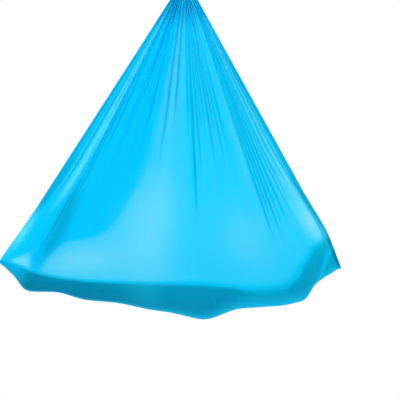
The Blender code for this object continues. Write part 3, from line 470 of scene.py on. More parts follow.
def at_columns(values, columns):
    """Values at every column, in straight runs between the knots."""
    starts = np.append(np.repeat(np.arange(len(columns)), columns), len(columns) - 1)
    inside = np.append(np.concatenate([np.arange(count) / count for count in columns]), 1.0)
    return values[starts] * (1 - inside) + values[starts + 1] * inside


def rippled(y, spread_share, lean, side):
    """A ply's distances from the middle, with its long waves and the deep folds of the gathered top."""
    for count, height, end, phase in WAVES:
        full = float(ramp(0, 0.12, lean) * (1 - ramp(end * 0.3, end, lean)))
        turn = phase + (1.3 if side > 0 else 0)
        wander = 0.35 * np.sin(math.tau * (3 * spread_share + phase))
        y = y + height * full * np.sin(math.tau * count * spread_share + turn + wander)
    round_end = np.sqrt(np.clip(1 - (2 * spread_share - 1) ** 2, 0.04, 1))
    kept = (1 + 0.4 * ramp(0, 0.08, lean)) * (1 - 0.75 * ramp(0.07, 0.16, lean))
    depth = GATHER_DEPTH * float(kept * (1 - ramp(0.16, GATHER_END, lean)))
    depth = depth * (round_end + (1 - round_end) * float(ramp(0, 0.15, lean)))
    fold = spread_share + 0.016 * np.sin(math.tau * (1.7 * spread_share + 0.3 * side))
    fold = fold + 0.006 * np.sin(math.tau * (5.3 * spread_share + 0.1 * side))
    return y + depth * (2 * np.abs(np.cos(math.pi * GATHER_FOLDS * fold)) - 1)


def cloth_rows():
    """Places, slope and drop shares, way round the seat, and levels of every row of the sheet."""
    rows = []
    total = 2 * PLY_ROWS + SEAT_ROWS
    for row in range(total + 1):
        side = -1 if row <= PLY_ROWS else 1
        lean = (min(row, total - row, PLY_ROWS) / PLY_ROWS) ** ROW_POWER
        row_drop = SHEET_TOP_DROP + (RIM_SHARE * CLOTH_DROP - SHEET_TOP_DROP) * lean
        rear_share = float(ramp(PLY_ROWS, PLY_ROWS + SEAT_ROWS, row))
        slopes, levels, columns = section_knots(row_drop, lean, rear_share)
        slope, level = at_columns(slopes, columns), at_columns(levels, columns)
        share = slope / np.where(slope < 0, LEFT_EDGE, RIGHT_EDGE)
        rim = eased_share(share, 1) * CLOTH_DROP
        lowest = eased_share(share, 2) * CLOTH_DROP
        half_depth = eased_share(share, 3, 0.06) * POD_DEPTH
        if row <= PLY_ROWS or row >= PLY_ROWS + SEAT_ROWS:
            seat = 0
            drop = SHEET_TOP_DROP + (rim - SHEET_TOP_DROP) * lean
            y = LOWER_FOOT_OFFSET + (half_depth - LOWER_FOOT_OFFSET) * lean
            y = rippled(y, (slope + LEFT_EDGE) / (LEFT_EDGE + RIGHT_EDGE), lean, side)
            y = side * (y - level * float(ramp(0, 0.10, lean)))
        else:
            angle = math.pi * (row - PLY_ROWS) / SEAT_ROWS
            seat = math.sin(angle)
            y = -(half_depth - level) * math.cos(angle)
            drop = rim + (lowest - rim - level) * seat
        turned_in = ramp(EDGE_TURN_SHARE * CLOTH_DROP, CLOTH_SHARES[-1, 2] * CLOTH_DROP, drop)
        right = RIGHT_EDGE + (RIGHT_TIP - RIGHT_EDGE) * turned_in * ramp(0.75, 1, share)
        x = np.where(slope < 0, slope, share * right) * drop
        x = x * (1 - SIDE_TRIM_SHARE * float(ramp(0, 0.25, lean) * (1 - ramp(0.8, 1, lean))))
        place = np.stack([x, y, APEX_Z - drop], axis=1)
        rows.append((place, share, drop / CLOTH_DROP, np.full(len(share), seat), level))
    return rows


def streak(share, drop, line, width, start, end, height):
    """A soft ray of the fan between two drop shares."""
    across = height * bell(share, line, width)
    return across * ramp(start - 0.06, start, drop) * (1 - ramp(end - 0.14, end, drop))


def seat_band(share, drop, seat):
    """The painted shade of the seat's band, and how much of it the painted light along its lowest edge takes
    away.
    """
    # Crisp at the seat's left and at its right corner, soft between them
    soft = 0.10 + 0.45 * ramp(0.25, 0.45, share) * (1 - ramp(0.55, 0.68, share))
    corner = ramp(0.60, 0.68, share) * ramp(-0.012, 0.006, drop - between(CLOTH_SHARES, share, 1))
    full = np.maximum(smoothstep(seat / soft), corner)
    # Painted light along the lowest edge, further in on the right, and little in the corner
    inner = 0.83 - 0.10 * ramp(-0.4, 0.0, share) - 0.58 * ramp(0.0, 0.42, share)
    inner += 0.55 * ramp(0.60, 0.78, share)
    lit = full * (1 - 0.90 * np.clip((seat - inner) / (1 - inner), 0, 1) ** 2)
    paler = 0.14 * ramp(-0.5, -0.1, share) + 0.14 * ramp(0.20, 0.40, share) + 0.12 * ramp(0.60, 0.80, share)
    band = lit * (1 - paler) * (0.28 + 0.72 * ramp(-0.90, -0.74, share))
    # The pale crease across the right corner
    crease = bell(drop, 0.7956 + 0.50 * (0.9645 - share), 0.010) * ramp(0.76, 0.84, share)
    return band * (1 - 0.75 * crease), full - lit


def cloth_tone(share, drop, seat):
    """How much light goes straight through the cloth, the painted shade of its seat's band, and how deep its
    other painted shade is.
    """
    clear = 0.105 + 0.02 * ramp(0.3, 0.6, drop)
    # Single and stretched: the zone between the left flap's edge and the middle, wider lower down
    open_zone = ramp(0.05, 0.26, drop) * (1 - 0.40 * ramp(0.38, 0.50, drop)) + 0.30 * ramp(0.52, 0.62, drop)
    clear += 0.11 * bell(share, -0.18, 0.15) * open_zone
    for middle, height, width, tall, strength in PALE_PATCHES:
        clear += strength * bell(share, middle, width) * bell(drop, height, tall)
    line = share - drift(share, drop)
    clear += sum(streak(line, drop, *ray) for ray in RAYS)
    # The pale patch that the turned-up corner leaves at the left tip
    above = ramp(-0.006, 0.010, drop - 0.8228 + 0.283 * (share + 0.949))
    inside = ramp(-0.965, -0.940, share) * (1 - ramp(-0.015, 0.020, share + 0.869 - 1.07 * (drop - 0.80)))
    clear += 0.40 * above * inside * (1 - smoothstep(seat / 0.06))
    # Painted shade, with a little less light straight through: the soft dark strip above the left flap's
    # corner
    strip = bell(share, -0.768, 0.050) * ramp(0.58, 0.68, drop) * (1 - ramp(0.76, 0.87, drop))
    band, taken_away = seat_band(share, drop, seat)
    clear -= 0.12 * strip + 0.30 * taken_away
    shade = 0.42 * strip + sum(streak(line, drop, *dark) for dark in DARK_LINES)
    return clear, band, shade


def hammock_cloth():
    """One sheet from the front neck through the seat to the rear neck, with its flaps and pleats."""
    rows = cloth_rows()
    count = len(rows[0][0])
    shape = bmesh.new()
    bmesh.ops.create_grid(shape, x_segments=count - 1, y_segments=len(rows) - 1, size=1)
    mesh = as_mesh(shape, "hammock_sheet")
    grid = np.zeros(len(mesh.vertices) * 3)
    mesh.vertices.foreach_get("co", grid)
    grid = grid.reshape(-1, 3)
    column = np.rint((grid[:, 0] + 1) / 2 * (count - 1)).astype(int)
    row = np.rint((grid[:, 1] + 1) / 2 * (len(rows) - 1)).astype(int)
    place, share, drop, seat, level = (np.stack([r[part] for r in rows])[row, column] for part in range(5))
    mesh.vertices.foreach_set("co", place.ravel())
    clear, band, shade = cloth_tone(share, drop, seat)
    # Shade inside the flat pleats, and the left flap's soft free edge
    fold = np.where((level > PLEAT_GAP / 4) & (level < 3 * PLEAT_GAP), level / (2 * PLEAT_GAP), 0)
    fold *= 0.15 + 0.85 * ramp(0.10, 0.40, drop)
    clear = clear * (1 - 0.6 * fold)
    free = np.clip(1 - column / LEFT_FLAP_COLUMNS / 0.12, 0, 1) ** 1.5
    marks = {"clear": clear, "band": band, "shade": shade, "fold": fold, "free": free}
    marks |= {"share": share, "drop": drop}
    for name, values in marks.items():
        mesh.attributes.new(name, "FLOAT", "POINT").data.foreach_set("value", values.astype(np.float32))
    mesh.update()
    mesh.shade_smooth()
    mesh.set_sharp_from_angle(angle=math.radians(60))
    mesh.materials.append(cloth_material())
    return put("hammock_sheet", mesh)


def cloth_material():
    """Sheer tricot: part of the light goes straight through, and the rest is scattered on both sides."""
    made, tree, shader = material("sheer_tricot")
    share, drop, fold = attribute(tree, "share"), attribute(tree, "drop"), attribute(tree, "fold")
    clear, band = attribute(tree, "clear"), attribute(tree, "band")
    # Fine rays that follow the fan, lost lower down where the cloth is stretched flat
    across, along = maths(tree, "MULTIPLY", share, 46.0), maths(tree, "MULTIPLY", drop, 0.9)
    fan = added(tree, "CombineXYZ", {0: across, 1: along})
    ray = maths(tree, "SUBTRACT", noise(tree, fan, 1.0, 4.0, 0.62), 0.5)
    ray = maths(tree, "MULTIPLY", ray, remap(tree, drop, 0.35, 0.78, 0.34, 0.05))
    through = maths(tree, "ADD", clear, ray)
    through = maths(tree, "MULTIPLY_ADD", band, -0.30, through)
    through = maths(tree, "MAXIMUM", through, 0.02)
    through = maths(tree, "MULTIPLY_ADD", attribute(tree, "free"), 0.6, through)
    through = maths(tree, "MINIMUM", through, 0.85)
    # Painted light makes the gathered top brighter, the stretched part is a little deeper, and painted shade
    # makes the seat's band darker
    thread = mix(tree, remap(tree, drop, 0.08, 0.34, 1.0, 0.0), THREAD_STRETCHED, THREAD_TOP_LIGHT)
    depth = maths(tree, "ADD", band, attribute(tree, "shade"))
    tint = mix(tree, maths(tree, "MULTIPLY_ADD", fold, 0.50, depth), thread, THREAD_SEAT_SHADE)
    # Painted light: paler where more light goes straight through
    colour = mix(tree, remap(tree, clear, 0.20, 0.60), tint, THREAD_PALE)
    knit = noise(tree, added(tree, "TexCoord", {}, "Object"), 900.0)
    look = {"Base Color": colour, "Normal": bump(tree, knit, 0.12, 0.0006), "Roughness": 0.75}
    look |= {"Specular IOR Level": 0.04, "Sheen Weight": 0.02, "Sheen Tint": (0.4, 0.85, 1.0, 1)}
    fill(tree, shader, look)
    glow = added(tree, "BsdfTranslucent", {"Color": colour})
    both = added(tree, "MixShader", {0: 0.4, 1: shader.outputs[0], 2: glow})
    final = added(tree, "MixShader", {0: through, 1: both, 2: added(tree, "BsdfTransparent", {})})
    fill(tree, tree.nodes["Material Output"], {"Surface": final})
    return made


def studio():
    """An even white room with one soft key, and a pale floor below the picture."""
    world = bpy.data.worlds.new("studio")
    world.use_nodes = True
    tree = world.node_tree
    bpy.context.scene.world = world
    room = tree.nodes["Background"]
    fill(tree, room, {"Color": WHITE, "Strength": 0.92})
    # What is seen directly, in a mirror or through the cloth is pure white
    path = tree.nodes.new("ShaderNodeLightPath")
    shown = maths(tree, "MAXIMUM", path.outputs["Is Camera Ray"], path.outputs["Is Glossy Ray"])
    shown = maths(tree, "MAXIMUM", shown, path.outputs["Is Transmission Ray"])
    seen = added(tree, "Background", {"Color": WHITE, "Strength": 1.0})
    either = added(tree, "MixShader", {0: shown, 1: room.outputs[0], 2: seen})
    fill(tree, tree.nodes["World Output"], {"Surface": either})
    key = bpy.data.lights.new("key", "AREA")
    key.energy = 105
    key.shape = "DISK"
    key.size = 3.0
    lamp = put("key", key)
    lamp.location = (-3.2, -4.5, 0.8)
    lamp.rotation_euler = (Vector((0, 0, -1.3)) - lamp.location).to_track_quat("-Z", "Y").to_euler()
    bpy.context.scene.view_settings.view_transform = "Standard"
    shape = bmesh.new()
    bmesh.ops.create_circle(shape, cap_ends=True, segments=96, radius=1.6)
    floor = put("floor", as_mesh(shape, "floor"))
    floor.location = (0, 0, -2.75)
    made, tree, shader = material("pale_floor")
    grain = added(tree, "TexNoise", {"Scale": 6})
    tone = tones(tree, grain, (0, (0.80, 0.80, 0.79)), (1, (0.86, 0.86, 0.85)))
    fill(tree, shader, {"Base Color": tone, "Roughness": 0.7})
    floor.data.materials.append(made)


def show(name, mesh, finish, *nodes, crease=35):
    """A finished piece that moves with its CAD nodes and stands for them."""
    mesh.shade_smooth()
    mesh.set_sharp_from_angle(angle=math.radians(crease))
    mesh.materials.clear()
    mesh.materials.append(finish)
    made = put(name, mesh)
    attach(made, BODY[nodes[0]])
    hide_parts(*nodes)
    return made


def add_grid(shape, rows, values, layer):
    """Adds a grid whose rows take these places, welded into a tube with filled ends."""
    count = len(rows[0])
    made = bmesh.ops.create_grid(shape, x_segments=count - 1, y_segments=len(rows) - 1, size=1)["verts"]
    for corner in made:
        column = round((corner.co.x + 1) / 2 * (count - 1))
        row = round((corner.co.y + 1) / 2 * (len(rows) - 1))
        corner.co = rows[row][column]
        corner[layer] = values[row][column]
    bmesh.ops.remove_doubles(shape, verts=made, dist=1e-6)
    bmesh.ops.holes_fill(shape, edges=[edge for edge in shape.edges if edge.is_boundary])


def bundle(line, across, outward, halves, depth, folds, steps=132):
    """Rows of a gathered rope of cloth: an oval section with round pleats, carried along a line."""
    count = len(line)
    across, outward = np.broadcast_to(across, (count, 3)), np.broadcast_to(outward, (count, 3))
    wide, deep = np.broadcast_to(halves, (count, 2)).T
    angle = np.linspace(0, math.tau, steps + 1)
    rows, values = [], []
    for index, along in enumerate(np.linspace(0, 1, count)):
        turn = angle + 0.10 * math.sin(5 * along + folds)
        fine = np.abs(np.cos((2 * folds + 3) * turn / 2 + 2 * along))
        ridge = 0.7 * np.abs(np.cos(folds * turn / 2)) + 0.3 * fine
        ridge[-1] = ridge[0]
        inset = depth * (1 - ridge)
        sideways = np.outer(np.cos(angle) * (wide[index] - inset), across[index])
        outwards = np.outer(np.sin(angle) * (deep[index] - inset), outward[index])
        rows.append(line[index] + sideways + outwards)
        # The valleys of the pleats, where the hitch cloth gets its painted shade
        values.append(1 - ridge)
    return rows, values


def saddle(middle, label):
    """Up one leg, over the carabiner's bar and down the other."""
    leg = np.linspace(1, 0, SADDLE_STEPS, endpoint=False)
    bend = np.linspace(0, math.pi, SADDLE_STEPS + 1)
    angle = np.concatenate((0 * leg, bend, 0 * leg + math.pi))
    down = np.concatenate((leg, 0 * bend, leg[::-1]))
    outward = np.stack((0 * angle, -np.cos(angle), np.sin(angle)), axis=1)
    line = middle + SADDLE_RADIUS * outward - np.outer(SADDLE_LEG * down, UP)
    rows, values = bundle(line, ACROSS, outward, SADDLE_HALF, 0.0022, 19)
    to_local = carabiner_places()[label].inverted()
    return [[clear_of_bar(point, to_local) for point in row] for row in rows], values


def wraps(middle, side):
    """Two turns round the neck, with both ends tucked in."""
    share = np.linspace(0, 1, WRAP_STEPS + 1)
    turn = 4 * math.pi * share
    tuck = 1 - 0.22 * (1 - ramp(0, 0.07, share)) - 0.22 * ramp(0.93, 1, share)
    wide, deep = WRAP_HALF[0] * tuck * np.cos(turn), WRAP_HALF[1] * tuck * np.sin(turn)
    path = np.stack((wide, deep, -WRAP_DROP - 2 * WRAP_PITCH * share), axis=1)
    flat = path * (1, 1, 0)
    out = flat / np.linalg.norm(flat, axis=1)[:, None]
    mirror = (1, side, 1)
    return bundle(middle + path * mirror, UP, out * mirror, WRAP_SECTION, 0.0010, 9, 48)


def neck(middle):
    """From under the bar down to the hung cloth, which its last stretch tapers into."""
    heights = np.linspace(NECK_TOP, NECK_FOOT + 0.010, NECK_STEPS)
    spread = ramp(NECK_SPREAD, NECK_FOOT, heights)
    taper = ramp(NECK_FOOT - 0.002, NECK_FOOT + 0.010, heights)
    wide = 0.020 + (0.0302 - 0.020) * spread - 0.014 * taper
    deep = 0.018 - 0.007 * spread - 0.006 * taper
    line = middle + np.stack((-0.0024 * spread, 0 * heights, -heights), axis=1)
    return bundle(line, ACROSS, DEPTHWAYS, np.stack((wide, deep), axis=1), 0.0028, 23, 200)


def tail(middle, side):
    """The cloth's loose end, a thin ruffled tongue on the outer side."""
    over = np.linspace(-1, 1, 61)
    thick = 0.0007 * (1 - 0.6 * np.abs(over) ** 6)
    rows, values = [], []
    for along in np.linspace(0, 1, 40):
        half, stand = (float(between(TAIL_SHARES, np.array([along]), column)[0]) for column in (1, 2))
        ruffle = np.sin(math.tau * (2.4 * over + 0.35 * math.sin(3 * along))) * (0.4 + 0.6 * along)
        ruffle *= 0.0019
        ripple = 0.0030 * along * math.sin(9 * along) * over
        foot = -TAIL_TOP - TAIL_LENGTH * along - 0.003 * along * np.sin(4 * over + 1) + 0.3 * ripple
        back, face = (
            np.stack((half * over, side * (WRAP_HALF[1] + stand + ruffle + way * thick), foot), axis=1)
            for way in (-1, 1)
        )
        rows.append(middle + np.concatenate((back, face[::-1], back[:1])))
        # Painted shade that follows the ruffles, darker where they stand out
        values.append(0.35 + 120 * np.concatenate((ruffle, ruffle[::-1], ruffle[:1])))
    return rows, values


def hitch(label, side):
    """One gathered end: over the carabiner, twice round itself, into the neck and a loose tail."""
    shape = bmesh.new()
    valley = shape.verts.layers.float.new("valley")
    middle = np.array((0.0, side * LOWER_FOOT_OFFSET, LOWER_FOOT_Z))
    for rows, values in (saddle(middle, label), wraps(middle, side), neck(middle), tail(middle, side)):
        add_grid(shape, rows, values, valley)
    bmesh.ops.recalc_face_normals(shape, faces=shape.faces)
    name = f"{label}_hitch_cloth"
    return show(name, as_mesh(shape, name), gathered_cloth(), f"{label}_hitch", crease=75)


def clear_of_bar(point, to_local):
    """Keeps a point of the saddle off the carabiner's round foot."""
    local = to_local @ Vector(point)
    if local.z > -SIDE_TOP + 0.004:
        return point
    spoke = Vector((local.x, 0, local.z + SIDE_TOP))
    nearest = Vector((0, 0, -SIDE_TOP)) + spoke.normalized() * OVAL_HALF_WIDTH
    away = local - nearest
    least = BAR_RADIUS + 2 * GAP
    if away.length < least:
        local = nearest + away.normalized() * least
    return np.array(to_local.inverted() @ local)


def gathered_cloth():
    """The same tricot where it is bunched: many layers deep, with painted shade in the valleys of its pleats.
    """
    made, tree, shader = material("gathered_tricot")
    knit = noise(tree, added(tree, "TexCoord", {}, "Object"), 1100)
    # Painted shade: darker the deeper in a pleat's valley
    valley = maths(tree, "SUBTRACT", attribute(tree, "valley"), 0.08)
    depth = maths(tree, "MULTIPLY_ADD", knit, 0.16, valley)
    tone = tones(tree, depth, (0, (0.0, 0.52, 0.86)), (0.85, (0.0, 0.20, 0.40)))
    look = {"Base Color": tone, "Normal": bump(tree, knit, 0.3, 0.0003), "Roughness": 0.75}
    look |= {"Specular IOR Level": 0.15, "Sheen Weight": 0.25, "Sheen Tint": (0.5, 0.9, 1.0, 1)}
    fill(tree, shader, look)
    return made


def metal(name, shade, roughness, grain=(1, 1, 1), mottle=0.14):
    """A plated or forged finish: broad mottling, fine lines along the work, and a rubbed roughness."""
    made, tree, shader = material(name)
    where = added(tree, "TexCoord", {}, "Object")
    cloud = noise(tree, where, 70, 5)
    lines = noise(tree, added(tree, "Mapping", {"Vector": where, "Scale": grain}), 900, 3)
    dull = [value * (1 - mottle) for value in shade]
    bright = [min(1, value * (1 + mottle / 2)) for value in shade]
    rubbed = maths(tree, "MULTIPLY_ADD", lines, 0.5, maths(tree, "MULTIPLY", cloud, 0.5))
    look = {"Base Color": tones(tree, cloud, (0.30, dull), (0.72, bright)), "Metallic": 1.0}
    look["Roughness"] = remap(tree, rubbed, 0, 1, roughness - 0.08, roughness + 0.12)
    look["Normal"] = bump(tree, lines, 0.12, 0.00008)
    fill(tree, shader, look)
    return made


def eased(points, size):
    """An outline with its corners taken off, apart from those on the axis."""
    result = []
    for index, here in enumerate(points):
        before, after = points[index - 1], points[(index + 1) % len(points)]
        if here[0] < GAP:
            result.append(here)
            continue
        for other in (before, after):
            way = Vector(other) - Vector(here)
            reach = min(size, way.length * 0.4)
            result.append(tuple(Vector(here) + way.normalized() * reach))
    return result


def lay(axis, centre):
    """Turns an upright piece onto an axis and moves it to a place."""
    quarter = math.pi / 2
    turns = {"X": Matrix.Rotation(quarter, 4, "Y"), "Y": Matrix.Rotation(-quarter, 4, "X"), "Z": Matrix()}
    return Matrix.Translation(centre) @ turns[axis]


def turned(name, points, easing=0.0003, axis="Z", centre=(0, 0, 0), steps=ROUND):
    """A closed outline of radius and height, spun about an axis."""
    shape = bmesh.new()
    corners = [shape.verts.new((radius, 0, height)) for radius, height in eased(points, easing)]
    for first, second in zip(corners, corners[1:] + corners[:1]):
        if first.co.x > GAP or second.co.x > GAP:
            shape.edges.new((first, second))
    outline = shape.verts[:] + shape.edges[:]
    whole = {"cent": (0, 0, 0), "axis": (0, 0, 1), "angle": math.tau}
    bmesh.ops.spin(shape, geom=outline, steps=steps, use_merge=True, **whole)
    bmesh.ops.remove_doubles(shape, verts=shape.verts, dist=1e-6)
    bmesh.ops.recalc_face_normals(shape, faces=shape.faces)
    bmesh.ops.transform(shape, matrix=lay(axis, centre), verts=shape.verts)
    return as_mesh(shape, name)


def rod(name, radius, length, axis="Z", centre=(0, 0, 0), easing=0.0003, steps=ROUND):
    half = length / 2
    return turned(name, [(0, half), (radius, half), (radius, -half), (0, -half)], easing, axis, centre, steps)


def rounded(shape, edges, size, segments=2):
    bmesh.ops.bevel(
        shape, geom=edges, offset=size, segments=segments, profile=0.5, affect="EDGES", material=-1
    )


def add_block(shape, size, centre):
    corners = bmesh.ops.create_cube(shape, size=1)["verts"]
    bmesh.ops.scale(shape, vec=size, verts=corners)
    bmesh.ops.translate(shape, vec=centre, verts=corners)


def block(name, size, centre, easing=0.0002):
    shape = bmesh.new()
    add_block(shape, size, centre)
    if easing:
        rounded(shape, shape.edges[:], easing)
    return as_mesh(shape, name)


def bent_bar(name, points, radius, closed=False):
    """A round bar along points."""
    curve = bpy.data.curves.new(name, "CURVE")
    curve.dimensions = "3D"
    curve.bevel_depth = radius
    curve.bevel_resolution = 10
    curve.use_fill_caps = not closed
    line = curve.splines.new("POLY")
    line.points.add(len(points) - 1)
    for point, place in zip(line.points, points):
        point.co = (*place, 1)
    line.use_cyclic_u = closed
    return taken(put(name, curve), name)


def taken(made, name):
    """The mesh that an object's modifiers or bevel give; the object goes."""
    bpy.context.view_layer.update()
    graph = bpy.context.evaluated_depsgraph_get()
    mesh = bpy.data.meshes.new_from_object(made.evaluated_get(graph), depsgraph=graph)
    bpy.data.objects.remove(made)
    mesh.name = name
    shape = bmesh.new()
    shape.from_mesh(mesh)
    bmesh.ops.remove_doubles(shape, verts=shape.verts, dist=1e-7)
    shape.to_mesh(mesh)
    shape.free()
    return mesh


def carved(name, base, adds=(), cuts=()):
    """A mesh united with others, then cut by others."""
    made = put(name, base)
    tools = []
    for operation, meshes in (("UNION", adds), ("DIFFERENCE", cuts)):
        for mesh in meshes:
            tools.append(put("tool", mesh))
            step = made.modifiers.new(operation, "BOOLEAN")
            step.operation = operation
            step.solver = "EXACT"
            step.object = tools[-1]
    mesh = taken(made, name)
    for tool in tools:
        bpy.data.objects.remove(tool)
    return mesh


def joined(name, *meshes):
    shape = bmesh.new()
    for mesh in meshes:
        shape.from_mesh(mesh)
    return as_mesh(shape, name)


def arc(centre, radius, start, end, steps):
    angles = [start + (end - start) * step / steps for step in range(steps + 1)]
    return [(centre[0] + radius * math.cos(a), 0, centre[1] + radius * math.sin(a)) for a in angles]


def ring(name, radius, bar_radius, centre):
    """A round bar bent into a ring in the YZ plane."""
    points = arc(centre[1:], radius, 0, math.tau, 96)[:-1]
    return bent_bar(name, [(centre[0], y, z) for y, _, z in points], bar_radius, closed=True)


def hexagon(height, x):
    """The pivot bolt's head or nut, with its end corners taken off."""
    shape = bmesh.new()
    across = BOLT_FLATS / math.sqrt(3)
    bmesh.ops.create_cone(shape, cap_ends=True, segments=6, radius1=across, radius2=across, depth=height)
    ends = [edge for edge in shape.edges if abs(edge.verts[0].co.z - edge.verts[1].co.z) < GAP]
    rounded(shape, ends, 0.0008, 3)
    bmesh.ops.transform(shape, matrix=lay("X", (x, 0, PIVOT_Z)), verts=shape.verts)
    return as_mesh(shape, "hexagon")


def ear(side):
    """One ear of the ceiling plate: a round end for the bolt, widening to its welded foot."""
    shape = bmesh.new()
    round_end = {"segments": 72, "radius1": EAR_RADIUS, "radius2": EAR_RADIUS, "depth": EAR_THICKNESS}
    bmesh.ops.create_cone(shape, cap_ends=True, **round_end)
    bmesh.ops.transform(shape, matrix=lay("X", (side * EAR_PLACE, 0, PIVOT_Z)), verts=shape.verts)
    add_block(shape, (EAR_THICKNESS, EAR_FOOT, 0.002), (side * EAR_PLACE, 0, -0.004))
    hull = bmesh.ops.convex_hull(shape, input=shape.verts[:])
    inside = set(hull["geom_interior"] + hull["geom_unused"])
    gone = [item for item in inside if isinstance(item, bmesh.types.BMVert)]
    bmesh.ops.delete(shape, geom=gone, context="VERTS")
    bmesh.ops.dissolve_limit(shape, angle_limit=0.01, verts=shape.verts[:], edges=shape.edges[:])
    rims = [edge for edge in shape.edges if edge.is_manifold and edge.calc_face_angle() > math.radians(50)]
    rounded(shape, rims, 0.0007)
    return as_mesh(shape, "ear")


def weld_bead(x):
    """A rippled fillet of weld along an ear's foot."""
    shape = bmesh.new()
    valley = shape.verts.layers.float.new("valley")
    reach = np.linspace(-WELD_REACH, WELD_REACH, 91)
    ripple = 1 + 0.10 * np.abs(np.sin(math.pi * reach / 0.0021))
    size = WELD_RADIUS * ripple * (1 - 0.5 * (np.abs(reach) / WELD_REACH) ** 12)
    line = np.stack((0 * reach + x, reach, 0 * reach - 0.0062), axis=1)
    rows, values = bundle(line, ACROSS, UP, np.stack((size, size), axis=1), 0.0, 2, 20)
    add_grid(shape, rows, values, valley)
    bmesh.ops.recalc_face_normals(shape, faces=shape.faces)
    return as_mesh(shape, "weld_bead")


def ceiling_plate(finish):
    shape = bmesh.new()
    add_block(shape, (PLATE_SIDE, PLATE_SIDE, PLATE_THICKNESS), (0, 0, -PLATE_THICKNESS / 2))
    upright = [edge for edge in shape.edges if abs(edge.verts[0].co.z - edge.verts[1].co.z) > GAP]
    rounded(shape, upright, PLATE_CORNER, 12)
    rims = [edge for edge in shape.edges if edge.calc_face_angle() > math.radians(60)]
    rounded(shape, rims, 0.0007)
    # A screw hole's radii and heights: countersunk a little on both faces
    outline = [(0, 0.004), (0.0056, 0.004), (0.0056, 0.0024), (0.005, 0.0018)]
    outline += [(radius, -height) for radius, height in outline[::-1]]
    cuts = []
    for x in (-SCREW_PLACE, SCREW_PLACE):
        for y in (-SCREW_PLACE, SCREW_PLACE):
            cuts.append(turned("screw_hole", outline, 0, "Z", (x, y, -PLATE_THICKNESS / 2), 48))
    plate = carved("plate", as_mesh(shape, "plate"), (), cuts)
    bolt_hole = rod("bolt_hole", BAR_RADIUS + GAP, 0.060, "X", (0, 0, PIVOT_Z), 0)
    ears = [carved("ear", ear(side), (), [bolt_hole.copy()]) for side in (-1, 1)]
    beads = [weld_bead(x) for x in (-0.0203, -0.0117, 0.0117, 0.0203)]
    name = "ceiling_plate_welded"
    show(name, joined(name, plate, *ears, *beads), finish, "ceiling_plate")


def pivot_pieces(finish, bronze):
    """The bolt, its nut and washers, and the flanged bushes that the eye turns on."""
    middle = (0, 0, PIVOT_Z)
    tip = BOLT_SEAT + 0.013
    threads = [(0, tip), (0.0048, tip)]
    for step in range(9):
        crest = tip - 0.0007 - THREAD_PITCH * step
        threads += [(0.0059, crest), (0.0059 - THREAD_DEPTH, crest - 0.0007)]
    threads += [(BAR_RADIUS, tip - 0.0150), (BAR_RADIUS, -BOLT_SEAT - 0.004), (0, -BOLT_SEAT - 0.004)]
    shank = turned("shank", threads, 0, "X", middle)
    bolt = carved("bolt", hexagon(HEAD_HEIGHT, -BOLT_SEAT - HEAD_HEIGHT / 2), [shank])
    show("pivot_bolt_hex", bolt, finish, "pivot_bolt")
    nut = hexagon(NUT_HEIGHT, BOLT_SEAT + NUT_HEIGHT / 2)
    bore = rod("bore", BAR_RADIUS + GAP, 2 * NUT_HEIGHT, "X", (BOLT_SEAT + NUT_HEIGHT / 2, 0, PIVOT_Z), 0)
    show("pivot_nut_hex", carved("nut", nut, (), [bore]), finish, "pivot_nut")
    bore, rim = BAR_RADIUS + GAP, 0.012
    for side, label in ((-1, "head_side"), (1, "nut_side")):
        outline = [(bore, 0.001), (rim, 0.001), (rim, -0.001), (bore, -0.001)]
        mesh = turned("washer", outline, 0.0003, "X", (side * 0.0213, 0, PIVOT_Z))
        show(f"washer_{label}", mesh, finish, f"pivot_washer_{label}")
    barrel = 0.0083
    outline = [(bore, 0.0117), (rim, 0.0117), (rim, 0.0102), (barrel, 0.0102), (barrel, GAP), (bore, GAP)]
    for label, side in (("left", -1), ("right", 1)):
        sided = [(radius, side * height) for radius, height in outline]
        show(f"bush_{label}", turned("bush", sided, 0.0002, "X", middle), bronze, f"pivot_bush_{label}")


def swing_eye(finish):
    middle = (0, 0, PIVOT_Z)
    barrel = rod("barrel", 0.015, 0.0198, "X", middle, 0.0008)
    bore = rod("bore", 0.0086, 0.028, "X", middle, 0)
    loop = ring("loop", 0.022, BAR_RADIUS, (0, 0, EYE_RING_Z))
    show("swing_eye_forged", carved("swing_eye", barrel, [loop], [bore]), finish, "swing_eye")


def carabiner_places():
    """Where each carabiner's oval has its middle, and how it is turned."""
    drop = Matrix.Translation((0, 0, -OVAL_HEIGHT / 2))
    upper = Matrix.Translation((0, 0, UPPER_TOP_Z)) @ drop
    front = Matrix.Translation((0, -LOWER_TOP_OFFSET, LOWER_TOP_Z)) @ Matrix.Rotation(-SPLAY, 4, "X") @ drop
    rear = Matrix.Translation((0, LOWER_TOP_OFFSET, LOWER_TOP_Z)) @ Matrix.Rotation(SPLAY, 4, "X")
    return {"upper": upper, "front": front, "rear": rear @ Matrix.Rotation(math.pi, 4, "Z") @ drop}


def gate_outline():
    """The gate's radii and heights, from its eased top to the ball of its hinge."""
    top = NOSE_END - 0.0006
    outline = [(0, top), (0.0052, top), (BAR_RADIUS, top - 0.0008)]
    quarter = arc((0, RIVET_HEIGHT), BAR_RADIUS, 0, -math.pi / 2, 12)
    return outline + [(x, z) for x, _, z in quarter[:-1]] + [(0, RIVET_HEIGHT - BAR_RADIUS)]


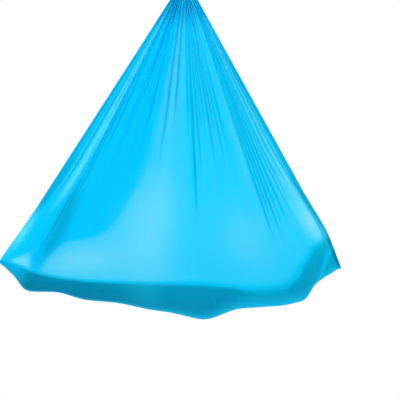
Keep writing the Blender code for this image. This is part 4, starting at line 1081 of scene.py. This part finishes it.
def sleeve_mesh():
    """The locking sleeve: a fluted grip between two plain rims."""
    edge = SLEEVE_RADIUS - SLEEVE_EDGE
    outline = [(SLEEVE_BORE, SLEEVE_TOP), (edge, SLEEVE_TOP), (SLEEVE_RADIUS, SLEEVE_TOP - SLEEVE_EDGE)]
    heights = [SLEEVE_TOP - 0.0022] + [SLEEVE_TOP - 0.0030 - 0.0020 * step for step in range(8)]
    heights += [SLEEVE_FOOT + 0.0022, SLEEVE_FOOT + SLEEVE_EDGE]
    outline += [(SLEEVE_RADIUS, height) for height in heights]
    outline += [(edge, SLEEVE_FOOT), (SLEEVE_BORE, SLEEVE_FOOT)]
    sleeve = turned("sleeve", outline, 0, steps=6 * FLUTES)
    for corner in sleeve.vertices:
        radius = math.hypot(corner.co.x, corner.co.y)
        grip = SLEEVE_FOOT + 0.0026 < corner.co.z < SLEEVE_TOP - 0.0026
        if radius > SLEEVE_RADIUS - GAP and grip:
            turn = math.atan2(corner.co.y, corner.co.x)
            sunk = FLUTE_DEPTH * (0.5 - 0.5 * math.cos(FLUTES * turn)) ** 0.7
            corner.co.x *= (radius - sunk) / radius
            corner.co.y *= (radius - sunk) / radius
    sleeve.transform(Matrix.Translation((OVAL_HALF_WIDTH, 0, 0)))
    return sleeve


def carabiner_meshes():
    """Frame, gate, rivet and locking sleeve about the middle of the oval."""
    half = OVAL_HALF_WIDTH
    hinge = (half, 0, RIVET_HEIGHT)
    points = [(half, 0, HINGE_END)] + arc((0, -SIDE_TOP), half, 0, -math.pi, 40)
    points += arc((0, SIDE_TOP), half, math.pi, 0, 40) + [(half, 0, NOSE_END)]
    bar = bent_bar("frame", points, BAR_RADIUS)
    stalk = block("stalk", (0.0100, 0.005, 0.0103), (half, 0, -0.02215), 0)
    eye = rod("eye", 0.0055, 0.005, "Y", hinge)
    nose = block("nose", (0.008, 0.004, 0.0096), (half, 0, 0.0212))
    pin_bore = RIVET_RADIUS + GAP
    bar = carved("frame", bar, [stalk, eye, nose], [rod("hole", pin_bore, 0.008, "Y", hinge, 0, PIN_ROUND)])
    gate = turned("gate", gate_outline(), 0, "Z", (half, 0, 0))
    cuts = [
        block("slot", (0.020, 0.0056, 0.0211), (half, 0, -0.02145), 0),
        block("slot", (0.020, 0.0046, 0.0110), (half, 0, 0.0210), 0),
        rod("bore", 0.0028, 0.0211, "Z", (half, 0, -0.00645), 0, PIN_ROUND),
        rod("hole", pin_bore, 0.020, "Y", hinge, 0, PIN_ROUND),
    ]
    gate = carved("gate", gate, (), cuts)
    dome = [(0, 0.006), (0.0008, 0.0059), (0.0013, 0.0056), (RIVET_RADIUS, 0.0052)]
    dome += [(radius, -height) for radius, height in dome[::-1]]
    return bar, gate, turned("rivet", dome, 0, "Y", hinge, PIN_ROUND), sleeve_mesh()


def carabiners(steel, dark):
    """Three alike; the two that hold the cloth are returned."""
    bar, gate, rivet, sleeve = carabiner_meshes()
    holders = []
    for label, place in carabiner_places().items():
        pieces = (("frame", "oval", bar, steel), ("gate", "rod", gate, steel))
        pieces += (("rivet", "pin", rivet, dark), ("sleeve", "lock", sleeve, dark))
        for node, word, pattern, finish in pieces:
            mesh = pattern.copy()
            mesh.transform(place)
            made = show(f"{label}_{node}_{word}", mesh, finish, f"{label}_carabiner_{node}")
            if node == "frame" and label != "upper":
                holders.append(made)
    return holders


def swivel(steel, dark):
    """The grooved housing with its ring, the cap with its key holes, and the eye on its stem."""
    outer, bore, top, foot = SWIVEL_RADIUS, SWIVEL_BORE, HOUSING_TOP_Z, HOUSING_FOOT_Z
    groove = [(0, 0), (0.0005, 0.0004), (0.0005, 0.0012), (0, 0.0016)]
    outline = [(0, top), (outer - SWIVEL_EDGE, top), (outer, top - SWIVEL_EDGE)]
    for height in (top - 0.0100, foot + 0.0060):
        outline += [(outer - sunk, height - down) for sunk, down in groove]
    outline += [(outer, foot), (bore, foot), (bore, top - 0.008), (0, top - 0.008)]
    cup = turned("housing", outline, 0.0002, steps=96)
    loop = ring("loop", 0.020, BAR_RADIUS, (0, 0, SWIVEL_RING_Z))
    show("swivel_housing_turned", carved("housing", cup, [loop]), steel, "swivel_housing")
    hole, fit, flange = 0.0066, bore - GAP, CAP_FOOT_Z + 0.003
    outline = [(hole, CAP_TOP_Z), (fit, CAP_TOP_Z), (fit, flange), (outer, flange)]
    outline += [(outer, CAP_FOOT_Z + SWIVEL_EDGE), (outer - SWIVEL_EDGE, CAP_FOOT_Z), (hole, CAP_FOOT_Z)]
    cap = turned("cap", outline, 0.0002, steps=96)
    holes = arc((0, 0), 0.0138, math.pi / 4, 7 * math.pi / 4, 3)
    pins = [rod("pin_hole", 0.0012, 0.003, "Z", (x, y, CAP_FOOT_Z), 0, 24) for x, _, y in holes]
    show("swivel_cap_turned", carved("cap", cap, (), pins), dark, "swivel_cap")
    collar = 0.010
    outline = [(0, STEM_TOP_Z), (BAR_RADIUS, STEM_TOP_Z), (BAR_RADIUS, COLLAR_TOP_Z), (collar, COLLAR_TOP_Z)]
    outline += [(collar, COLLAR_TOP_Z - 0.004), (BAR_RADIUS, LOOP_TOP_Z), (0, LOOP_TOP_Z)]
    stem = turned("stem", outline, 0.0004)
    points = []
    for quarter, (x, z) in enumerate(((1, 1), (-1, 1), (-1, -1), (1, -1))):
        centre = (x * LOOP_BEND, LOOP_TOP_Z - LOOP_BEND if z > 0 else LOOP_BAR_Z + LOOP_BEND)
        start = quarter * math.pi / 2
        points += [(0, y, height) for y, _, height in arc(centre, LOOP_BEND, start, start + math.pi / 2, 14)]
    loop = bent_bar("loop", points, BAR_RADIUS, closed=True)
    show("swivel_eye_forged", carved("eye", stem, [loop]), steel, "swivel_eye")


def metal_pieces():
    """Every metal piece; the sealed inner ones keep their CAD shape. Returns what carries the cloth."""
    zinc = metal("zinc_plated_steel", (0.60, 0.61, 0.63), 0.34, (1, 1, 1), 0.20)
    forged = metal("satin_forged_steel", (0.56, 0.57, 0.59), 0.26, (1, 0.2, 1))
    polished = metal("polished_bar_steel", (0.66, 0.67, 0.69), 0.18, (1, 1, 0.15), 0.10)
    dark = metal("black_oxide_steel", (0.09, 0.09, 0.10), 0.38, (1, 1, 0.3), 0.25)
    bronze = metal("oiled_bronze", (0.55, 0.35, 0.16), 0.32, (1, 0.3, 0.3), 0.22)
    spring = metal("spring_wire", (0.40, 0.41, 0.43), 0.30)
    ceiling_plate(zinc)
    pivot_pieces(zinc, bronze)
    swing_eye(forged)
    holders = carabiners(polished, dark)
    swivel(forged, dark)
    inner = {
        polished: ["swivel_upper_race", "swivel_lower_race"],
        bronze: ["swivel_ball_cage"],
        zinc: ["swivel_nut"],
        dark: [f"{label}_carabiner_plunger" for label in ("upper", "front", "rear")],
        spring: [f"{label}_carabiner_spring" for label in ("upper", "front", "rear")],
    }
    for finish, names in inner.items():
        for name in names:
            for place in frame["nodes"][name].material_slots:
                place.material = finish
    return holders


camera()
cloth = hammock_cloth()
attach(cloth, "hammock")
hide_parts("hammock_cloth")
hitches = [hitch("front", -1), hitch("rear", 1)]
frames = metal_pieces()
studio()
